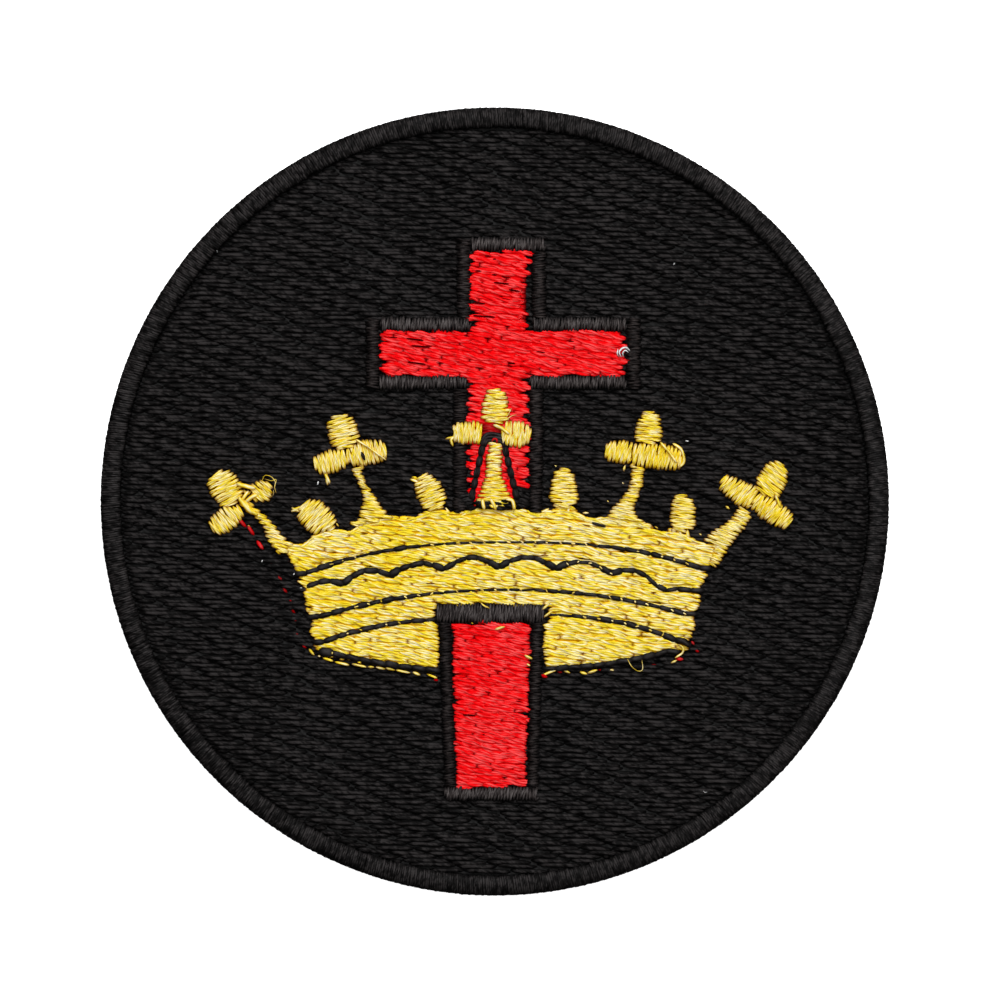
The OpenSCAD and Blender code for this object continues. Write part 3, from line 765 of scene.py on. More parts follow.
# Least depth of a needle hole below a fill's top, and how many rows one swing of the bunching takes
HOLE_DEPTH = 0.26
SWING_ROWS = 3.3


def lay_shadow_gap(sew, rows, row, hole, level, high):
    """A painted shadowed gap: a thin thread in the needle-hole painted shade, laid beside the thread at a
    needle hole.
    """
    half = sew.rng.uniform(*GAP_HALF)
    beside = level + row * sew.rng.choice([-0.5, 0.5])
    ends = np.array([rows.spot(hole - half, beside), rows.spot(hole + half, beside)])
    if sew.warp:
        ends += np.transpose(sew.warp(ends[:, 0], ends[:, 1]))
    sew.trail(ends, GAP_W, high - 0.7 * GAP_W, sink=0.04, lit=0.0)


def fill(sew, edges, angle, row, stitch, step, low, high, width, thick, ragged, bunch=0.0, teeth=0.0,
         spots=0.4, painted_gaps=0.0, trim=None):
    """Rows of stitches across a plan. ragged is how far the ends wander, bunch draws rows together at their
    ends, which then stand out by teeth, spots is the share of needle holes whose stitch ends take painted
    shade, and painted_gaps is the share of those that also get a painted shadowed gap beside the thread.

    trim, if given, takes a row's two ends and returns them shortened.
    """
    rng = sew.rng
    rows = Rows(edges, angle)
    v0, v1 = rows.span()
    count = int((v1 - v0) / row)
    phase = rng.uniform(0, TURN)
    for k in range(count + 1):
        v = v0 + (k + 0.5) * row
        swing = TURN * k / SWING_ROWS + phase + 0.8 * math.sin(k * 0.37)
        pull = bunch * math.sin(swing)
        out = -teeth * math.cos(swing)
        for u0, u1 in rows.at(v):
            if trim:
                u0, u1 = trim(rows, v, u0, u1)
            if u1 - u0 < 0.5:
                continue
            first = u0 + (k * step - u0 + rng.uniform(-0.35, 0.35)) % stitch
            holes = [h for h in np.arange(first, u1, stitch) if h - u0 > 0.8 and u1 - h > 0.8]
            holes = [u0 - out + rng.normal(0, ragged)] + [h + rng.normal(0, 0.3) for h in holes]
            holes = holes + [u1 + out + rng.normal(0, ragged)]
            levels = [v + pull * 0.5 + rng.normal(0, 0.04) for _ in holes]
            levels[0] += pull * 0.5
            levels[-1] += pull * 0.5
            # Which needle holes darken the stitch ends beside them with painted shade
            shown = [1.0] + [float(rng.uniform() < spots) for _ in holes[2:]] + [1.0]
            for hole, level, dark in list(zip(holes, levels, shown))[1:-1]:
                # Some of those also get a painted shadowed gap beside the thread
                if dark and rng.uniform() < painted_gaps:
                    lay_shadow_gap(sew, rows, row, hole, level, high)
            points = [EDGE_TAPER] + [INNER_TAPER] * (len(holes) - 2) + [EDGE_TAPER]
            for a, b, va, vb, dark, taper in zip(
                    holes, holes[1:], levels, levels[1:], zip(shown, shown[1:]), zip(points, points[1:])):
                if (b - a) < 0.3:
                    continue
                deep = low + (high - low - HOLE_DEPTH) * rng.uniform(0, 1) ** 0.4
                sew.lay(
                    rows.spot(a, va), rows.spot(b, vb), deep, high + rng.normal(0, 0.03), width=width,
                    thick=thick, shoulder=0.6, spacing=0.26, bow=rng.normal(0, 0.09), taper=taper, dark=dark)


def under(sew, edges, angle, top, inset, row=0.5, trim=None):
    """Flat padding threads below a fill, so that no ground shows between its rows."""
    rows = Rows(edges, angle)
    v0, v1 = rows.span()
    for k in range(int((v1 - v0 - inset) / row) + 1):
        v = v0 + inset / 2 + 0.2 + k * row
        for u0, u1 in rows.at(v):
            if trim:
                u0, u1 = trim(rows, v, u0, u1)
            if u1 - u0 > 2 * inset + 0.4:
                sew.lay(
                    rows.spot(u0 + inset, v), rows.spot(u1 - inset, v), top - 0.16, top, width=0.7,
                    thick=0.16, spacing=1.2, taper=0.8, tone=0.1)


# Where the head leans to the left: from and to along Y, and how far its right and left sides move
HEAD_LEAN = (15.8, 23.0, 0.8, 0.35)


def red_fills():
    """The red of the upper cross and of the foot."""
    ripple = swell(np.random.default_rng(41), 3, 7)

    def warp(x, y):
        return 0 * x, 0.07 * ripple(x, y)

    def trim_head(rows, v, u0, u1):
        """The head leans to the left between its ends."""
        from_y, to_y, right, left = HEAD_LEAN
        share = (rows.spot(u1, v)[1] - from_y) / (to_y - from_y)
        lean = math.sin(math.pi * share) ** 0.5 if 0 < share < 1 else 0
        return u0 - left * lean, u1 - right * lean

    sew = Sewing(42, pair=True, plies=0, hole_shade_reach=0.25, warp=warp)
    under(sew, plan("cross_fill"), -7, PAD_Z, 0.6)
    fill(
        sew, plan("cross_fill"), -7, row=FILL_ROW, stitch=3.4, step=1.3, low=FILL_LOW, high=FILL_Z,
        width=FILL_W, thick=FILL_H, ragged=0.13, bunch=0.12, teeth=0.28, spots=0.45, painted_gaps=0.35,
        trim=trim_head)
    sew.piece("cross_red_stitches", ["cross_fill"], RED_THREAD, "red_thread")
    sew = Sewing(43, pair=True, plies=0, hole_shade_reach=0.25, warp=warp)
    under(sew, plan("foot_fill"), -6, PAD_Z, 0.5)
    fill(
        sew, plan("foot_fill"), -6, row=0.35, stitch=3.6, step=1.3, low=FILL_LOW, high=FILL_Z,
        width=FILL_W, thick=FILL_H, ragged=0.1, bunch=0.03, painted_gaps=0.3)
    sew.piece("foot_red_stitches", ["foot_fill"], RED_THREAD, "red_thread")


# Running lines on the crown

LINES = [
    "line_upper", "line_scalloped", "line_middle", "line_lens_left", "line_lens_right",
    "line_hem_left", "line_hem_right"]


def line_middle_of(node):
    """Points along the middle of a running line, from left to right."""
    rows = Rows(plan(node), 90)
    v0, v1 = rows.span()
    steps = np.linspace(v1 - 0.02, v0 + 0.02, 160)
    points = []
    for v in steps:
        cut = rows.at(v)
        if cut:
            low, high = cut[0][0], cut[-1][1]
            points.append(rows.spot((low + high) / 2, v))
    return np.array(points)


LINE_PATHS = {node: line_middle_of(node) for node in LINES}


def line_dip(x, y):
    """How far the gold fill is pulled down beside the running lines."""
    depth = np.zeros_like(x)
    for node, path in LINE_PATHS.items():
        places, widths = zip(*LINE_WIDTHS[node])
        wide = np.interp(x, places, widths)
        inside = (x > path[0, 0] - 0.2) & (x < path[-1, 0] + 0.2)
        off = np.abs(y - np.interp(x, path[:, 0], path[:, 1]))
        pulled = (0.06 + 0.36 * wide) * np.exp(-(off / (0.12 + 0.45 * wide)) ** 2)
        depth = np.maximum(depth, np.where(inside, pulled, 0))
    return depth


def pinch(x, y):
    """How far the band's side is drawn in beside the end of a running line."""
    ends = [path[end] for path in LINE_PATHS.values() for end in (0, -1)]
    near = [abs(y - end[1]) for end in ends if abs(x - end[0]) < 2.5]
    return 0.38 * math.exp(-(min(near) / 0.5) ** 2) if near else 0.0


def trim_band(rows, v, u0, u1):
    """Keeps a row of the band above the hem lines, and pinches its ends."""
    for node in ("line_hem_left", "line_hem_right"):
        path = LINE_PATHS[node]
        along = np.arange(u0, u1, 0.1)
        x, y = along * rows.c - v * rows.s, along * rows.s + v * rows.c
        inside = (x > path[0, 0] - 0.6) & (x < path[-1, 0] + 0.6)
        below = inside & (y < np.interp(x, path[:, 0], path[:, 1]))
        if below.all():
            return u0, u0
        if below.any():
            open_part = along[~below]
            u0, u1 = open_part[0], open_part[-1]
    return u0 + pinch(*rows.spot(u0, v)), u1 - pinch(*rows.spot(u1, v))


def crown_band():
    """The gold of the band, pulled down beside its running lines."""
    ripple = swell(np.random.default_rng(51), 2.5, 6)
    curl = swell(np.random.default_rng(52), 6, 12)

    def warp(x, y):
        return 0 * x, 0.06 * ripple(x, y) + 0.12 * curl(x, y)

    sew = Sewing(53, pair=True, plies=0, hole_shade_reach=0.3, warp=warp, dip=line_dip)
    under(sew, plan("crown_band"), -5, PAD_Z, 0.35, trim=trim_band)
    fill(
        sew, plan("crown_band"), -5, row=FILL_ROW, stitch=3.8, step=1.45, low=FILL_LOW, high=FILL_Z,
        width=FILL_W, thick=FILL_H, ragged=0.07, bunch=0.04, teeth=0.05, painted_gaps=0.2, trim=trim_band)
    top_edge(sew)
    sew.piece("crown_gold_stitches", ["crown_band"], GOLD_THREAD, "gold_thread")


def top_edge(sew):
    """Stitches that follow the band's top edge, where the rows run out."""
    rows = Rows(plan("crown_band"), 90)
    v0, v1 = rows.span()
    steps = np.linspace(v1 - 0.5, v0 + 0.5, 100)
    edge = np.array([rows.spot(rows.at(v)[-1][1], v) for v in steps])
    for inset, first in ((0.16, 0), (0.42, 4)):
        for k in range(first, len(edge) - 9, 8):
            sew.trail(edge[k:k + 10:3] - (0, inset), 0.24, FILL_Z - 0.26, tone=sew.rng.uniform(0.2, 1))


# Width of each running line at places along X: pairs of X and width
LINE_WIDTHS = {
    "line_upper": (
        (-19, 0.64), (-14.4, 0.56), (-13.8, 0.3), (-12, 0.3), (-11.4, 0.46), (-7.4, 0.46), (-6.6, 0.26),
        (9.2, 0.24), (10, 0.46), (21, 0.58)),
    "line_scalloped": ((-18, 0.56), (18, 0.54)),
    "line_middle": ((-18, 0.58), (-8, 0.52), (-6.8, 0.3), (4.2, 0.26), (5.2, 0.42), (19, 0.5)),
    "line_lens_left": ((-17, 0.68), (-14, 0.54), (-7.6, 0.5), (-5.6, 0.3)),
    "line_lens_right": ((4.4, 0.26), (7.4, 0.3), (8.4, 0.46), (16, 0.54), (19, 0.8)),
    "line_hem_left": ((-17.6, 0.8), (-13, 0.66), (-5.4, 0.62)),
    "line_hem_right": ((4.6, 0.5), (19, 0.66))}
# Stretches of the lines where the gold thread shows at the needle holes
SPECKED = {
    "line_upper": ((-16, -11.6), (-6.5, 21)), "line_scalloped": ((6, 12),), "line_middle": ((-15, 19.5),),
    "line_lens_left": ((-15, -9),), "line_lens_right": ((7.5, 18),), "line_hem_left": ((-16, -11),)}


# A cusp is the lowest of this many points on each side, and its neighbours rise by this much
CUSP_SPAN = 6
CUSP_RISE = 0.22
# Length of a running stitch, and how much its width varies
RUN_STITCH = 1.25
RUN_VARIES = 0.12
# Share of the needle holes on a specked stretch that show gold
SPECK_SHARE = 0.65


def cusps_of(path, reach):
    """Where along a line its scallops meet."""
    found = []
    for k in range(CUSP_SPAN, len(path) - CUSP_SPAN):
        low = path[k - CUSP_SPAN:k + CUSP_SPAN + 1, 1]
        if low.argmin() == CUSP_SPAN and min(low[0], low[-1]) - low[CUSP_SPAN] > CUSP_RISE:
            found.append(reach[k])
    return found


def running_line(node, seed, specks):
    """A row of short stitches pulled into the gold fill, the needle going through at each cusp."""
    path = LINE_PATHS[node]
    reach = np.concatenate([[0], np.cumsum(np.linalg.norm(np.diff(path, axis=0), axis=1))])
    cusps = cusps_of(path, reach)
    sew = Sewing(seed, sides=8)
    rng = sew.rng
    marks = [0.0]
    for stop in cusps + [reach[-1]]:
        first = marks[-1]
        count = max(1, round((stop - first) / RUN_STITCH))
        marks += list(first + (stop - first) * np.arange(1, count + 1) / count)
    marks = np.array(marks)
    marks[1:-1] += rng.normal(0, 0.05, len(marks) - 2)
    spots = np.stack([np.interp(marks, reach, path[:, 0]), np.interp(marks, reach, path[:, 1])], 1)
    places, widths = zip(*LINE_WIDTHS[node])
    for k, (a, b) in enumerate(zip(spots, spots[1:])):
        away = (b - a) / np.linalg.norm(b - a)
        middle = (a + b) / 2
        wide = np.interp(middle[0], places, widths)
        near = min((abs(mark - cusp) for mark in marks[k:k + 2] for cusp in cusps), default=math.inf)
        wide += 0.22 * math.exp(-(near / 0.4) ** 2)
        over = away * min(0.1, wide / 5)
        lean = rng.normal(0, 0.04, 2)
        sew.lay(
            a - over + lean, b + over - lean, FILL_Z - 0.3, FILL_Z + 0.02 + rng.normal(0, 0.02),
            width=wide * rng.normal(1, RUN_VARIES), thick=min(0.36, wide), shoulder=0.42, spacing=0.15,
            taper=0.55)
    for spot in spots[1:-1]:
        shown = any(x0 < spot[0] < x1 for x0, x1 in SPECKED.get(node, ()))
        if shown and rng.uniform() < SPECK_SHARE:
            turn = rng.normal(-0.45, 0.5)
            half = np.array([math.cos(turn), math.sin(turn)]) * rng.uniform(0.06, 0.2)
            specks.lay(
                spot - half, spot + half, FILL_Z - 0.04, FILL_Z + 0.13, width=rng.uniform(0.1, 0.18),
                thick=0.14, shoulder=0.1, spacing=0.1, tone=1.0, dark=(0, 0))
    sew.piece(node + "_stitches", [node], LINE_THREAD, "outline_thread")


# Satin stitching

def distance(spot, edges):
    """How far a spot is from the nearest of a plan's edges."""
    a, b = edges[:, 0], edges[:, 1]
    way = b - a
    share = np.clip(((spot - a) * way).sum(1) / (way ** 2).sum(1), 0, 1)
    return np.linalg.norm(spot - a - way * share[:, None], axis=1).min()


# How far the ends of satin stitches wander, and how far they run on into a neighbour
SATIN_RAGGED = 0.06
JOIN_REACH = 0.5
# Pitch of the gold satin
GOLD_PITCH = 0.4


def satin(sew, edges, angle, pitch, low, high, width=0.34, thick=0.26, shoulder=0.55, joins=None):
    """Zigzag threads across a plan: each goes from a hole on one side to the next hole on the other.

    joins, if given, is the plan of a neighbour that the stitches run on into.
    """
    rng = sew.rng
    rows = Rows(edges, angle)
    v0, v1 = rows.span()
    count = max(3, round((v1 - v0) / (pitch / 2)))
    spots = []
    for k in range(count + 1):
        v = v0 + (v1 - v0) * (k + 0.35) / (count + 0.7)
        cuts = rows.at(v)
        if cuts:
            u0, u1 = max(cuts, key=lambda c: c[1] - c[0])
            out = -1 if k % 2 else 1
            u = (u0 if k % 2 else u1) + rng.normal(0, SATIN_RAGGED) + 0.06 * out
            if joins is not None and distance(rows.spot(u, v), joins) < JOIN_REACH / 2:
                u += JOIN_REACH * out
            spots.append(rows.spot(u, v + rng.normal(0, 0.03)))
    for k, (a, b) in enumerate(zip(spots, spots[1:])):
        length = np.linalg.norm(b - a)
        if length < 0.3:
            continue
        dome = high + min(0.0, (length - 1.6) * 0.12)
        sew.lay(
            a, b, low, dome + 0.04 * (k % 2) + rng.normal(0, 0.02), width=width * rng.normal(1, 0.06),
            thick=thick, shoulder=shoulder, spacing=0.26, bow=rng.normal(0, 0.03), taper=0.75)


def bar(node, angle, seed):
    """A black satin bar, stitched square across. Bars whose threads lie up and down take the lighter finish,
    a painted highlight, and the rest the darker one, painted shade.
    """
    sew = Sewing(seed)
    satin(sew, plan(node), angle, 0.3, GROUND_Z - 0.03, SATIN_Z, width=0.26, thick=0.2, shoulder=0.6)
    # The lighter finish is a painted highlight, the darker one painted shade
    finish = LIT_OUTLINE_THREAD if abs(angle) > 45 else SHADED_BAR_THREAD
    sew.piece(node + "_stitches", [node], finish, "outline_thread")


# Angle of the stitches of each black bar, in degrees from +X
BARS = {
    "outline_head_top": 85, "outline_left_upper": 86, "outline_left_lower": 87,
    "outline_right_upper": 84, "outline_right_lower": 86,
    "outline_head_left": -2, "outline_head_right": 2, "outline_left_end": 1, "outline_right_end": -3,
    "outline_shaft_left_high": -2, "outline_shaft_left_low": 1, "outline_shaft_right": 2,
    "foot_frame_top": 83, "foot_frame_left": 1, "foot_frame_right": -2, "foot_frame_bottom": 78}

# Angle of the stitches of each gold leaf, stem and bud
SATINS = {
    "leaf_1_top": 29, "leaf_1_left": -53, "leaf_1_right": -38, "stem_1": -14,
    "leaf_2_top": 17, "leaf_2_left": -75, "leaf_2_right": -76, "stem_2": -6,
    "leaf_3_top": 0, "leaf_3_left": 88, "leaf_3_right": 86, "stem_3": 0,
    "leaf_4_top": -5, "leaf_4_left": 76, "leaf_4_right": 79, "stem_4": -5,
    "leaf_5_top": -35, "leaf_5_left": 52, "leaf_5_right": 54, "stem_5": -18,
    "bud_1": 49, "bud_2": 20, "bud_3": 0, "bud_4": -6}

# Gold satin over the red fill, and the leaves there that step down past it
OVER_RED = ["leaf_3_top", "leaf_3_left", "leaf_3_right", "stem_3"]
STEPPED = ["leaf_3_left", "leaf_3_right"]


def gold_satin(node, angle, seed):
    """A leaf, stem or bud. A stem's threads run on into the band."""
    sew = Sewing(seed, pair=True, plies=0, hole_shade_reach=0.3)
    over = node in OVER_RED
    low = FILL_Z + 0.02 if over else GROUND_Z + 0.05
    high = OVER_Z if over else SATIN_Z
    edges = round_plan(node) if node in STEPPED else plan(node)
    joins = plan("crown_band") if node.startswith("stem") else None
    satin(sew, edges, angle, GOLD_PITCH, low, high, joins=joins)
    sew.piece(node + "_stitches", [node], GOLD_THREAD, "gold_thread")


# Length of a bead of running stitch beside the centre stem
BEAD_LENGTH = 1.16


def stem_edges():
    """Beads of running stitch down each side of the centre stem, and the arch over its head."""
    for seed, node in enumerate(["stem_edge_left", "stem_edge_right"], 90):
        rows = Rows(plan(node), 180)
        v0, v1 = rows.span()
        sew = Sewing(seed, sides=8)
        ends = []
        for v in (v0 + 0.12, v1 - 0.12):
            cut = rows.at(v)[0]
            ends.append(rows.spot((cut[0] + cut[1]) / 2, v))
        a, b = ends
        count = max(1, round(np.linalg.norm(b - a) / BEAD_LENGTH))
        way = (b - a) / np.linalg.norm(b - a)
        for k in range(count):
            p, q = a + (b - a) * k / count, a + (b - a) * (k + 1) / count
            for off in (-0.11, 0.11, 0.0):
                side = np.array([-way[1], way[0]]) * off
                sew.lay(
                    p + side, q + side, FILL_Z - 0.1, FILL_Z + 0.34 - abs(off) / 2, width=0.36, thick=0.34,
                    spacing=0.15, bow=off * 0.4)
        sew.piece(node + "_stitches", [node], LINE_THREAD, "outline_thread")
    sew = Sewing(92, sides=8)
    for out in (0.0, 0.3, 0.6):
        arch = [
            (-0.9 - out * 0.6, 5.3), (-0.85 - out * 0.6, 5.75 + out * 0.3), (-0.55 - out * 0.3, 5.9 + out),
            (0.3, 5.85 + out), (0.75 + out * 0.4, 5.65 + out * 0.7), (0.95 + out * 0.6, 5.2)]
        sew.trail(arch, 0.42, FILL_Z - 0.1, lift=0.06)
    sew.piece("stem_edge_top_stitches", ["stem_edge_top"], LINE_THREAD, "outline_thread")


# Black stitching over the red beside the centre stem's foot, and over its end: left, right, lowest and
# highest edge, the level of its top and the angle of its rows
FOOT_PATCHES = [
    (-3.5, -1.8, -0.6, 0.75, FILL_Z + 0.2, 12),
    (1.75, 3.5, -0.6, 1.3, FILL_Z + 0.2, -16),
    (-1.9, 1.8, -0.6, 0.0, OVER_Z + 0.08, -3)]


def stem_foot():
    """The ground's thread over the red beside and below the centre stem, and the red between its leaves."""
    sew = Sewing(93, hole_shade_reach=0.6)
    for x0, x1, y0, y1, top, angle in FOOT_PATCHES:
        patch = box_plan(x0, x1, y0, y1)
        under(sew, patch, angle, top - 0.14, 0.1, row=0.4)
        fill(
            sew, patch, angle, row=0.3, stitch=3.4, step=1.1, low=top - 0.26, high=top, width=0.4,
            thick=0.26, ragged=0.2, bunch=0.1)
    sew.piece("stem_foot_stitches", [], GROUND_THREAD, "ground_thread")
    # Painted needle-hole shade reaches over this whole small satin and darkens most of it, and the loop after
    # it is half in that painted shade
    sew = Sewing(94, pair=True, plies=0, hole_shade_reach=2.4)
    satin(sew, box_plan(-1.3, 0.75, 6.4, 7.5), 2, GOLD_PITCH, FILL_Z - 0.1, FILL_Z + 0.2)
    sew.trail([(-0.3, 5.75), (-0.1, 6.05), (0.2, 5.95), (0.15, 5.6)], 0.2, FILL_Z + 0.3, lit=0.5)
    sew.piece("stem_head_stitches", [], RED_THREAD, "red_thread")


# Loose threads

# Level that a loose thread lies on
LEVELS = {
    "sunk": GROUND_Z - 0.29, "ground": GROUND_Z - 0.02, "fill": FILL_Z - 0.06, "satin": SATIN_Z - 0.14,
    "over": SATIN_Z + 0.04, "top": OVER_Z}

# Each loose gold thread: its level, width and the points that it passes
GOLD_LOOSE = [
    # First fleuron: the bridge between two leaves, the loop and forks below it, the neck of the stem, curls
    ("satin", 0.42, (-24.9, 1.7), (-24.1, 1.5), (-23.1, 1.25)),
    ("ground", 0.3, (-24.3, 1.1), (-23.9, 0.75), (-23.6, 0.95)),
    ("satin", 0.34, (-24.4, 0.1), (-24.0, 0.7), (-23.8, 1.0)),
    ("satin", 0.4, (-24.1, -0.1), (-23.5, 0.4), (-22.9, 0.7)),
    ("satin", 0.46, (-24.7, 0.4), (-24.0, -0.5), (-23.3, -1.2)),
    ("satin", 0.4, (-24.2, 0.1), (-23.6, -0.8), (-22.9, -1.3)),
    ("over", 0.07, (-22.5, 1.9), (-22.2, 2.5), (-21.6, 2.4), (-21.2, 1.9), (-21.3, 1.3)),
    ("over", 0.07, (-22.2, 2.2), (-21.6, 2.0), (-21.1, 2.1), (-21.25, 1.4), (-21.1, 0.8)),
    ("ground", 0.06, (-21.4, 1.2), (-21.35, 0.8), (-21.5, 0.5)),
    ("ground", 0.14, (-23.85, -2.3), (-23.63, -2.45)),
    # First bud: its tip
    ("ground", 0.3, (-18.7, -0.5), (-19.2, -0.75), (-19.65, -0.95)),
    ("ground", 0.26, (-18.8, -0.95), (-19.2, -0.85), (-19.6, -0.6)),
    # Second fleuron: the tuft under its left leaf, and the thread over its stem
    ("ground", 0.32, (-16.7, 3.4), (-16.3, 2.5), (-15.95, 1.75)),
    ("ground", 0.24, (-16.3, 3.2), (-16.25, 2.4), (-16.15, 1.6)),
    ("over", 0.2, (-13.4, 6.0), (-12.0, 5.1), (-10.5, 4.0)),
    ("ground", 0.2, (-15.3, -2.1), (-15.1, -2.4)),
    # Second bud: its tip, and the thread at its foot
    ("ground", 0.3, (-7.3, 1.85), (-7.7, 2.0), (-8.15, 2.15)),
    ("ground", 0.26, (-7.4, 2.1), (-7.7, 2.3), (-8.0, 2.35)),
    ("ground", 0.22, (-7.2, 2.2), (-6.95, 2.5), (-6.7, 2.65)),
    ("ground", 0.2, (-4.75, -0.6), (-4.5, -0.95), (-4.2, -1.25)),
    # Centre fleuron: the tail of its left leaf, ends over its right leaf, and the loops at its foot
    ("satin", 0.28, (-3.6, 6.4), (-4.2, 6.0), (-4.05, 5.35)),
    ("satin", 0.22, (-3.7, 6.2), (-4.3, 6.15), (-4.75, 6.05)),
    ("over", 0.08, (0.9, 7.9), (1.3, 8.4), (1.6, 9.0)),
    ("over", 0.08, (1.1, 7.8), (1.5, 8.2), (2.1, 8.4)),
    ("over", 0.34, (-0.1, 7.4), (0.6, 7.1), (1.4, 6.5)),
    ("top", 0.34, (-1.2, 0.25), (-1.15, -0.2), (-1.0, -0.8)),
    ("top", 0.36, (-0.4, 0.25), (-0.15, -0.2), (0.1, -0.8)),
    ("top", 0.3, (-0.5, -0.35), (-0.1, -0.5), (0.3, -0.4)),
    ("top", 0.34, (1.1, 0.2), (1.6, 0.15), (1.8, -0.2), (1.9, -0.8)),
    # Third bud: the curl at its tip, and threads at its foot
    ("sunk", 0.09, (6.3, 3.2), (5.8, 3.5), (5.75, 3.95), (6.2, 4.05), (6.4, 3.7), (6.3, 3.2)),
    ("sunk", 0.08, (6.4, 3.1), (6.0, 3.4), (5.95, 3.85), (6.45, 4.0), (6.55, 3.4)),
    ("ground", 0.26, (3.95, -1.0), (4.6, -1.0), (5.2, -0.7)),
    ("ground", 0.26, (6.1, -0.6), (6.7, -0.75), (7.4, -0.6)),
    ("ground", 0.3, (6.4, -0.5), (6.3, -0.9), (6.5, -1.3)),
    ("ground", 0.3, (7.2, -0.5), (7.1, -0.9), (7.3, -1.3)),
    ("ground", 0.2, (8.5, -1.1), (9.05, -1.1)),
    # Fourth fleuron: the long stitch and the arcs at the end of its right leaf
    ("over", 0.26, (16.0, 5.7), (16.8, 4.8), (17.55, 3.75)),
    ("satin", 0.28, (17.2, 5.6), (18.0, 5.0), (18.25, 3.9), (17.8, 3.3)),
    ("ground", 0.24, (12.6, 3.5), (12.5, 3.25), (12.45, 2.95)),
    ("ground", 0.16, (12.3, 1.85), (12.45, 1.7)),
    ("ground", 0.16, (10.85, 0.1), (11.0, -0.05)),
    # Fourth bud and fifth fleuron: its foot, and the ends of the leaves
    ("ground", 0.34, (17.8, -2.7), (17.9, -3.1), (18.1, -3.5)),
    ("ground", 0.34, (18.6, -2.7), (18.6, -3.1), (18.7, -3.5)),
    ("ground", 0.18, (15.45, -2.4), (15.75, -2.6)),
    ("ground", 0.18, (19.75, -3.1), (19.95, -3.25)),
    ("ground", 0.24, (22.3, -0.45), (22.65, -0.7)),
    ("satin", 0.28, (27.1, 0.6), (27.35, 0.0), (27.6, -0.6)),
    ("ground", 0.2, (27.9, -1.8), (28.1, -1.65), (28.4, -1.8), (28.4, -2.15), (28.1, -2.25), (27.95, -1.9)),
    # The band's left side: threads over the upper line
    ("over", 0.12, (-14.2, -5.35), (-12.8, -4.95), (-11.5, -4.5)),
    ("over", 0.1, (-13.6, -5.0), (-12.6, -4.85), (-11.2, -4.6)),
    # The band's right foot: the loop round its corner, and a curl below the hem
    ("fill", 0.2, (17.7, -13.8), (18.15, -14.1), (18.1, -14.6), (17.4, -15.1)),
    ("over", 0.07, (12.8, -15.2), (13.2, -15.9), (13.8, -16.35), (14.25, -16.2), (14.2, -15.3)),
    # Over the foot's frame
    ("over", 0.24, (5.3, -9.8), (4.6, -10.4)),
    ("over", 0.24, (5.55, -10.55), (4.75, -11.15)),
    ("over", 0.16, (-1.35, -9.8), (-0.95, -10.1), (-0.5, -10.3)),
    ("over", 0.12, (-3.7, -9.95), (-3.55, -10.1)),
    ("over", 0.14, (-2.25, -11.7), (-2.1, -11.8)),
    ("fill", 0.26, (0.05, -12.35), (0.5, -12.2), (0.95, -12.1)),
    ("fill", 0.28, (2.9, -14.85), (3.3, -15.05), (3.65, -15.2)),
    ("fill", 0.24, (3.1, -15.7), (3.4, -15.85)),
]

# The gold dashes below the band's hem: both ends of each, X and Y
GOLD_DASHES = [
    (-17.94, -14.25, -17.46, -14.83), (-17.08, -14.92, -16.79, -14.95), (-16.59, -15.11, -15.63, -15.4),
    (-16.11, -14.83, -15.63, -15.02), (-15.43, -15.5, -14.08, -15.79), (-14.95, -15.21, -14.56, -15.24),
    (-13.79, -15.69, -12.44, -15.98), (-13.31, -15.4, -12.92, -15.6), (-12.15, -15.11, -11.76, -15.31),
    (-12.25, -15.96, -11.67, -16.0), (-11.47, -15.98, -10.6, -16.18), (-10.51, -16.08, -9.64, -16.27),
    (-9.54, -16.27, -8.19, -16.56), (-7.9, -16.47, -7.22, -16.76), (-6.55, -16.66, -5.58, -17.05),
    (4.66, -16.76, 6.01, -16.18), (6.59, -16.27, 7.26, -16.56), (8.23, -16.47, 8.9, -16.66),
    (9.0, -16.56, 9.87, -16.27), (11.13, -16.25, 11.51, -16.29), (17.02, -15.6, 17.6, -15.31)]

# Red dashes over the ground: both ends of each, and how lit it is; the dim ones have sunk in, lie lower and
# take painted shade
RED_DASHES = [
    (-24.7, -1.69, -24.03, -2.46, 0.65), (-23.84, -2.37, -23.26, -3.24, 0.65),
    (-22.97, -3.81, -22.39, -4.59, 0.8), (-22.29, -5.1, -21.81, -5.4, 0.4), (-21.65, -6.0, -21.23, -6.3, 0.3),
    (-21.04, -7.2, -20.46, -7.6, 0.3), (-20.46, -8.4, -20.07, -8.8, 0.3), (-19.97, -9.4, -19.49, -9.8, 0.25),
    (-19.68, -10.4, -19.3, -10.8, 0.25), (-19.39, -11.4, -19.0, -11.8, 0.2),
    (-19.3, -12.6, -18.9, -13.1, 0.2), (-18.72, -13.67, -18.23, -14.15, 0.45),
    (-7.03, -16.83, -6.64, -16.87, 0.3), (-5.87, -17.22, -5.49, -17.26, 0.6),
    (4.46, -16.76, 5.04, -16.95, 0.7), (6.1, -16.45, 6.49, -16.49, 0.4), (9.97, -16.25, 10.45, -16.29, 0.3),
    (15.18, -15.77, 15.57, -15.81, 0.2), (17.5, -15.19, 18.18, -15.23, 0.7),
    (19.0, -13.5, 19.25, -13.8, 0.55), (19.4, -14.4, 19.7, -14.5, 0.55)]

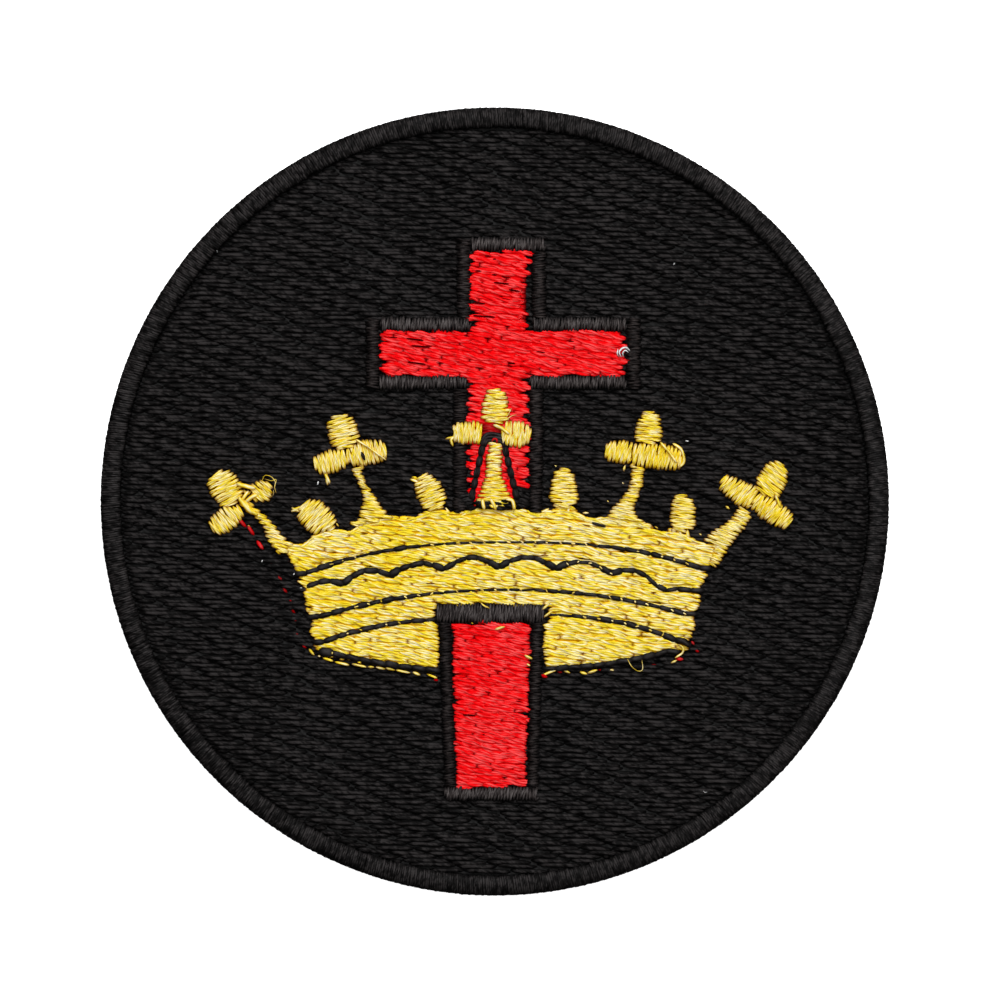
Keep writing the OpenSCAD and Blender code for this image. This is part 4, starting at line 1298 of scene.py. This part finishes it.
# Painted shadowed gaps between the rows of the red, threads in the needle-hole painted shade: both ends of
# each
RED_SHADOW_GAPS = [
    (-0.95, 23.7, -0.37, 23.68), (-0.17, 23.42, 0.12, 23.4), (-1.9, 22.28, -1.3, 22.24),
    (-0.27, 21.9, 0.2, 21.87), (-0.08, 21.15, 1.37, 21.0), (1.37, 20.45, 2.4, 20.3),
    (-2.1, 19.2, -0.95, 19.1), (-2.1, 17.95, 0.02, 17.8), (-8.5, 15.75, -6.9, 15.55),
    (-8.06, 15.05, -6.45, 14.9), (-8.4, 13.45, -6.7, 13.25), (1.27, 13.4, 2.05, 13.3),
    (-3.07, -20.6, -1.91, -20.65)]

# Each loose black thread, as for the gold ones
BLACK_LOOSE = [
    ("fill", 0.3, (9.4, -2.05), (10.0, -2.25), (10.7, -2.4)),
    ("over", 0.34, (-12.85, 4.75), (-12.7, 4.35), (-12.55, 4.0)),
    ("satin", 0.24, (-24.0, 0.9), (-23.85, 0.5), (-23.65, 0.2)),
    ("over", 0.2, (12.55, 14.25), (12.75, 14.3), (12.9, 14.1)),
    ("fill", 0.5, (17.6, -13.2), (18.3, -13.6), (18.9, -14.0))]

# Each end of white thread: the knot at the cross's right arm, and a hair at the lower right
WHITE_LOOSE = [
    ("over", 0.2, (12.2, 13.95), (12.0, 14.4), (12.3, 14.78), (12.7, 14.85), (13.05, 14.5)),
    ("over", 0.17, (12.4, 14.0), (12.35, 14.35), (12.6, 14.58), (12.9, 14.4)),
    ("satin", 0.13, (12.0, 13.95), (11.83, 14.3), (11.9, 14.75)),
    ("satin", 0.05, (13.15, 14.3), (13.2, 14.7), (13.7, 15.1)),
    ("ground", 0.05, (20.0, -27.7), (20.3, -28.1), (20.75, -27.9))]

# Specks of white lint
LINT = [
    (-22.48, -5.75), (-19.39, -7.0), (-18.72, -8.35), (-17.08, 1.79), (-26.83, 24.19), (17.31, 22.94),
    (18.56, 5.84)]


def loose_threads():
    """Ends, loops and dashes of gold, red, black and white thread that lie on the patch."""
    sew = Sewing(95, plies=0)
    for level, width, *points in GOLD_LOOSE:
        sew.trail(points, width, LEVELS[level], lift=0.05, tone=sew.rng.uniform(0.6, 1))
    for x0, y0, x1, y1 in GOLD_DASHES:
        width = sew.rng.uniform(0.2, 0.28)
        sew.trail([(x0, y0), (x1, y1)], width, LEVELS["ground"], tone=sew.rng.uniform(0.5, 1))
    sew.piece("gold_loose_threads", [], GOLD_THREAD, "gold_thread")

    sew = Sewing(96, plies=0)
    for x0, y0, x1, y1, lit in RED_DASHES:
        level = LEVELS["ground" if lit > 0.5 else "sunk"]
        sew.trail([(x0, y0), (x1, y1)], 0.2 + 0.2 * lit, level, tone=0.3, lit=lit * 0.7)
    for x0, y0, x1, y1 in RED_SHADOW_GAPS:
        sew.trail([(x0, y0), (x1, y1)], 0.16, LEVELS["fill"], sink=0.04, lit=0.0)
    sew.piece("red_loose_threads", [], RED_THREAD, "red_thread")

    sew = Sewing(97, plies=0)
    for level, width, *points in BLACK_LOOSE:
        sew.trail(points, width, LEVELS[level])
    sew.piece("black_loose_threads", [], LINE_THREAD, "outline_thread")

    sew = Sewing(98, plies=0)
    for level, width, *points in WHITE_LOOSE:
        sew.trail(points, width, LEVELS[level], sink=0.05)
    for x, y in LINT:
        turn, size = sew.rng.uniform(0, math.pi), sew.rng.uniform(0.09, 0.17)
        half = np.array([math.cos(turn), math.sin(turn)]) * size
        sew.trail([np.array((x, y)) - half, np.array((x, y)) + half], 0.2, LEVELS["ground"], sink=0.02)
    sew.piece("white_loose_threads", [], WHITE_THREAD, None)


# The floor, the light and the camera

# Width of the view and the point it is aimed at, in millimetres, and the camera's lens and sensor
FRAME_W = 96.58
AIM = (0.5, 0.145)
LENS = 300.0
SENSOR = 36.0
# Half the side of the floor, in metres, and how much light it gives off
FLOOR_REACH = 1.5
FLOOR_GLOW = 0.9
# Each lamp: its place and width, in metres, and its watts
LAMPS = {"key": ((0.08, 0.55, 0.6), 0.3, 4.8), "soft": ((0.05, 0.2, 0.9), 0.8, 4.6)}


def white_floor():
    """A white table that neither lights the patch nor shows in its gloss."""
    mesh = bpy.data.meshes.new("floor")
    corners = [(x * FLOOR_REACH, y * FLOOR_REACH, 0) for x, y in ((-1, -1), (1, -1), (1, 1), (-1, 1))]
    mesh.from_pydata(corners, [], [(0, 1, 2, 3)])
    floor = put("floor", mesh)
    f = Finish(bpy.data.materials.new("white_table"))
    grain = f.noise(f.place(), 60.0, detail=3)
    tint = f.mix(grain, (0.86, 0.86, 0.86, 1), (0.9, 0.9, 0.9, 1))
    mesh.materials.append(
        f.done(Base_Color=tint, Roughness=0.9, Emission_Color=(1, 1, 1, 1), Emission_Strength=FLOOR_GLOW))
    floor.visible_diffuse = False
    floor.visible_glossy = False


def daylight():
    """Soft light from all round, brighter from above and from the north."""
    light = Finish(bpy.data.worlds.new("studio"))
    _, north, up = light.parts(light.node("ShaderNodeTexCoord"))
    sky = (up * 0.75 + north * 0.5).between(0.0, 1.0) * 0.47 + 0.02
    glow = light.node("ShaderNodeBackground", sockets={0: (1, 1, 1, 1), 1: sky})
    light.node("ShaderNodeOutputWorld", sockets={0: glow})
    bpy.context.scene.world = light.owner


def lamp(name, place, size, watts):
    """A round lamp turned to the middle of the patch."""
    light = bpy.data.lights.new(name, "AREA")
    light.shape = "DISK"
    light.size = size
    light.energy = watts
    made = put(name, light)
    made.location = place
    away = -np.array(place)
    level = math.hypot(away[0], away[1])
    made.rotation_euler = (math.atan2(level, -away[2]), 0, math.atan2(away[1], away[0]) - math.pi / 2)


def studio():
    """The floor, the lights and a camera straight above the patch."""
    white_floor()
    daylight()
    for name, (place, size, watts) in LAMPS.items():
        lamp(name, place, size, watts)
    camera = bpy.data.cameras.new("camera")
    camera.lens = LENS
    camera.sensor_width = SENSOR
    camera.clip_start = 0.05
    camera.clip_end = 10
    made = put("camera", camera)
    made.location = (AIM[0] * MM, AIM[1] * MM, GROUND_Z * MM + FRAME_W * MM * LENS / SENSOR)
    bpy.context.scene.camera = made
    bpy.context.scene.view_settings.view_transform = "Standard"


cloth_disc()
ground_stitches()
border_core()
border_wraps()
red_fills()
crown_band()
crown_specks = Sewing(58)
for number, line in enumerate(LINES):
    running_line(line, 60 + number, crown_specks)
crown_specks.piece("crown_specks", [], GOLD_THREAD, "gold_thread")
for number, (bar_node, bar_angle) in enumerate(BARS.items()):
    bar(bar_node, bar_angle, 100 + number)
for number, (gold_node, gold_angle) in enumerate(SATINS.items()):
    gold_satin(gold_node, gold_angle, 140 + number)
stem_edges()
stem_foot()
loose_threads()
studio()
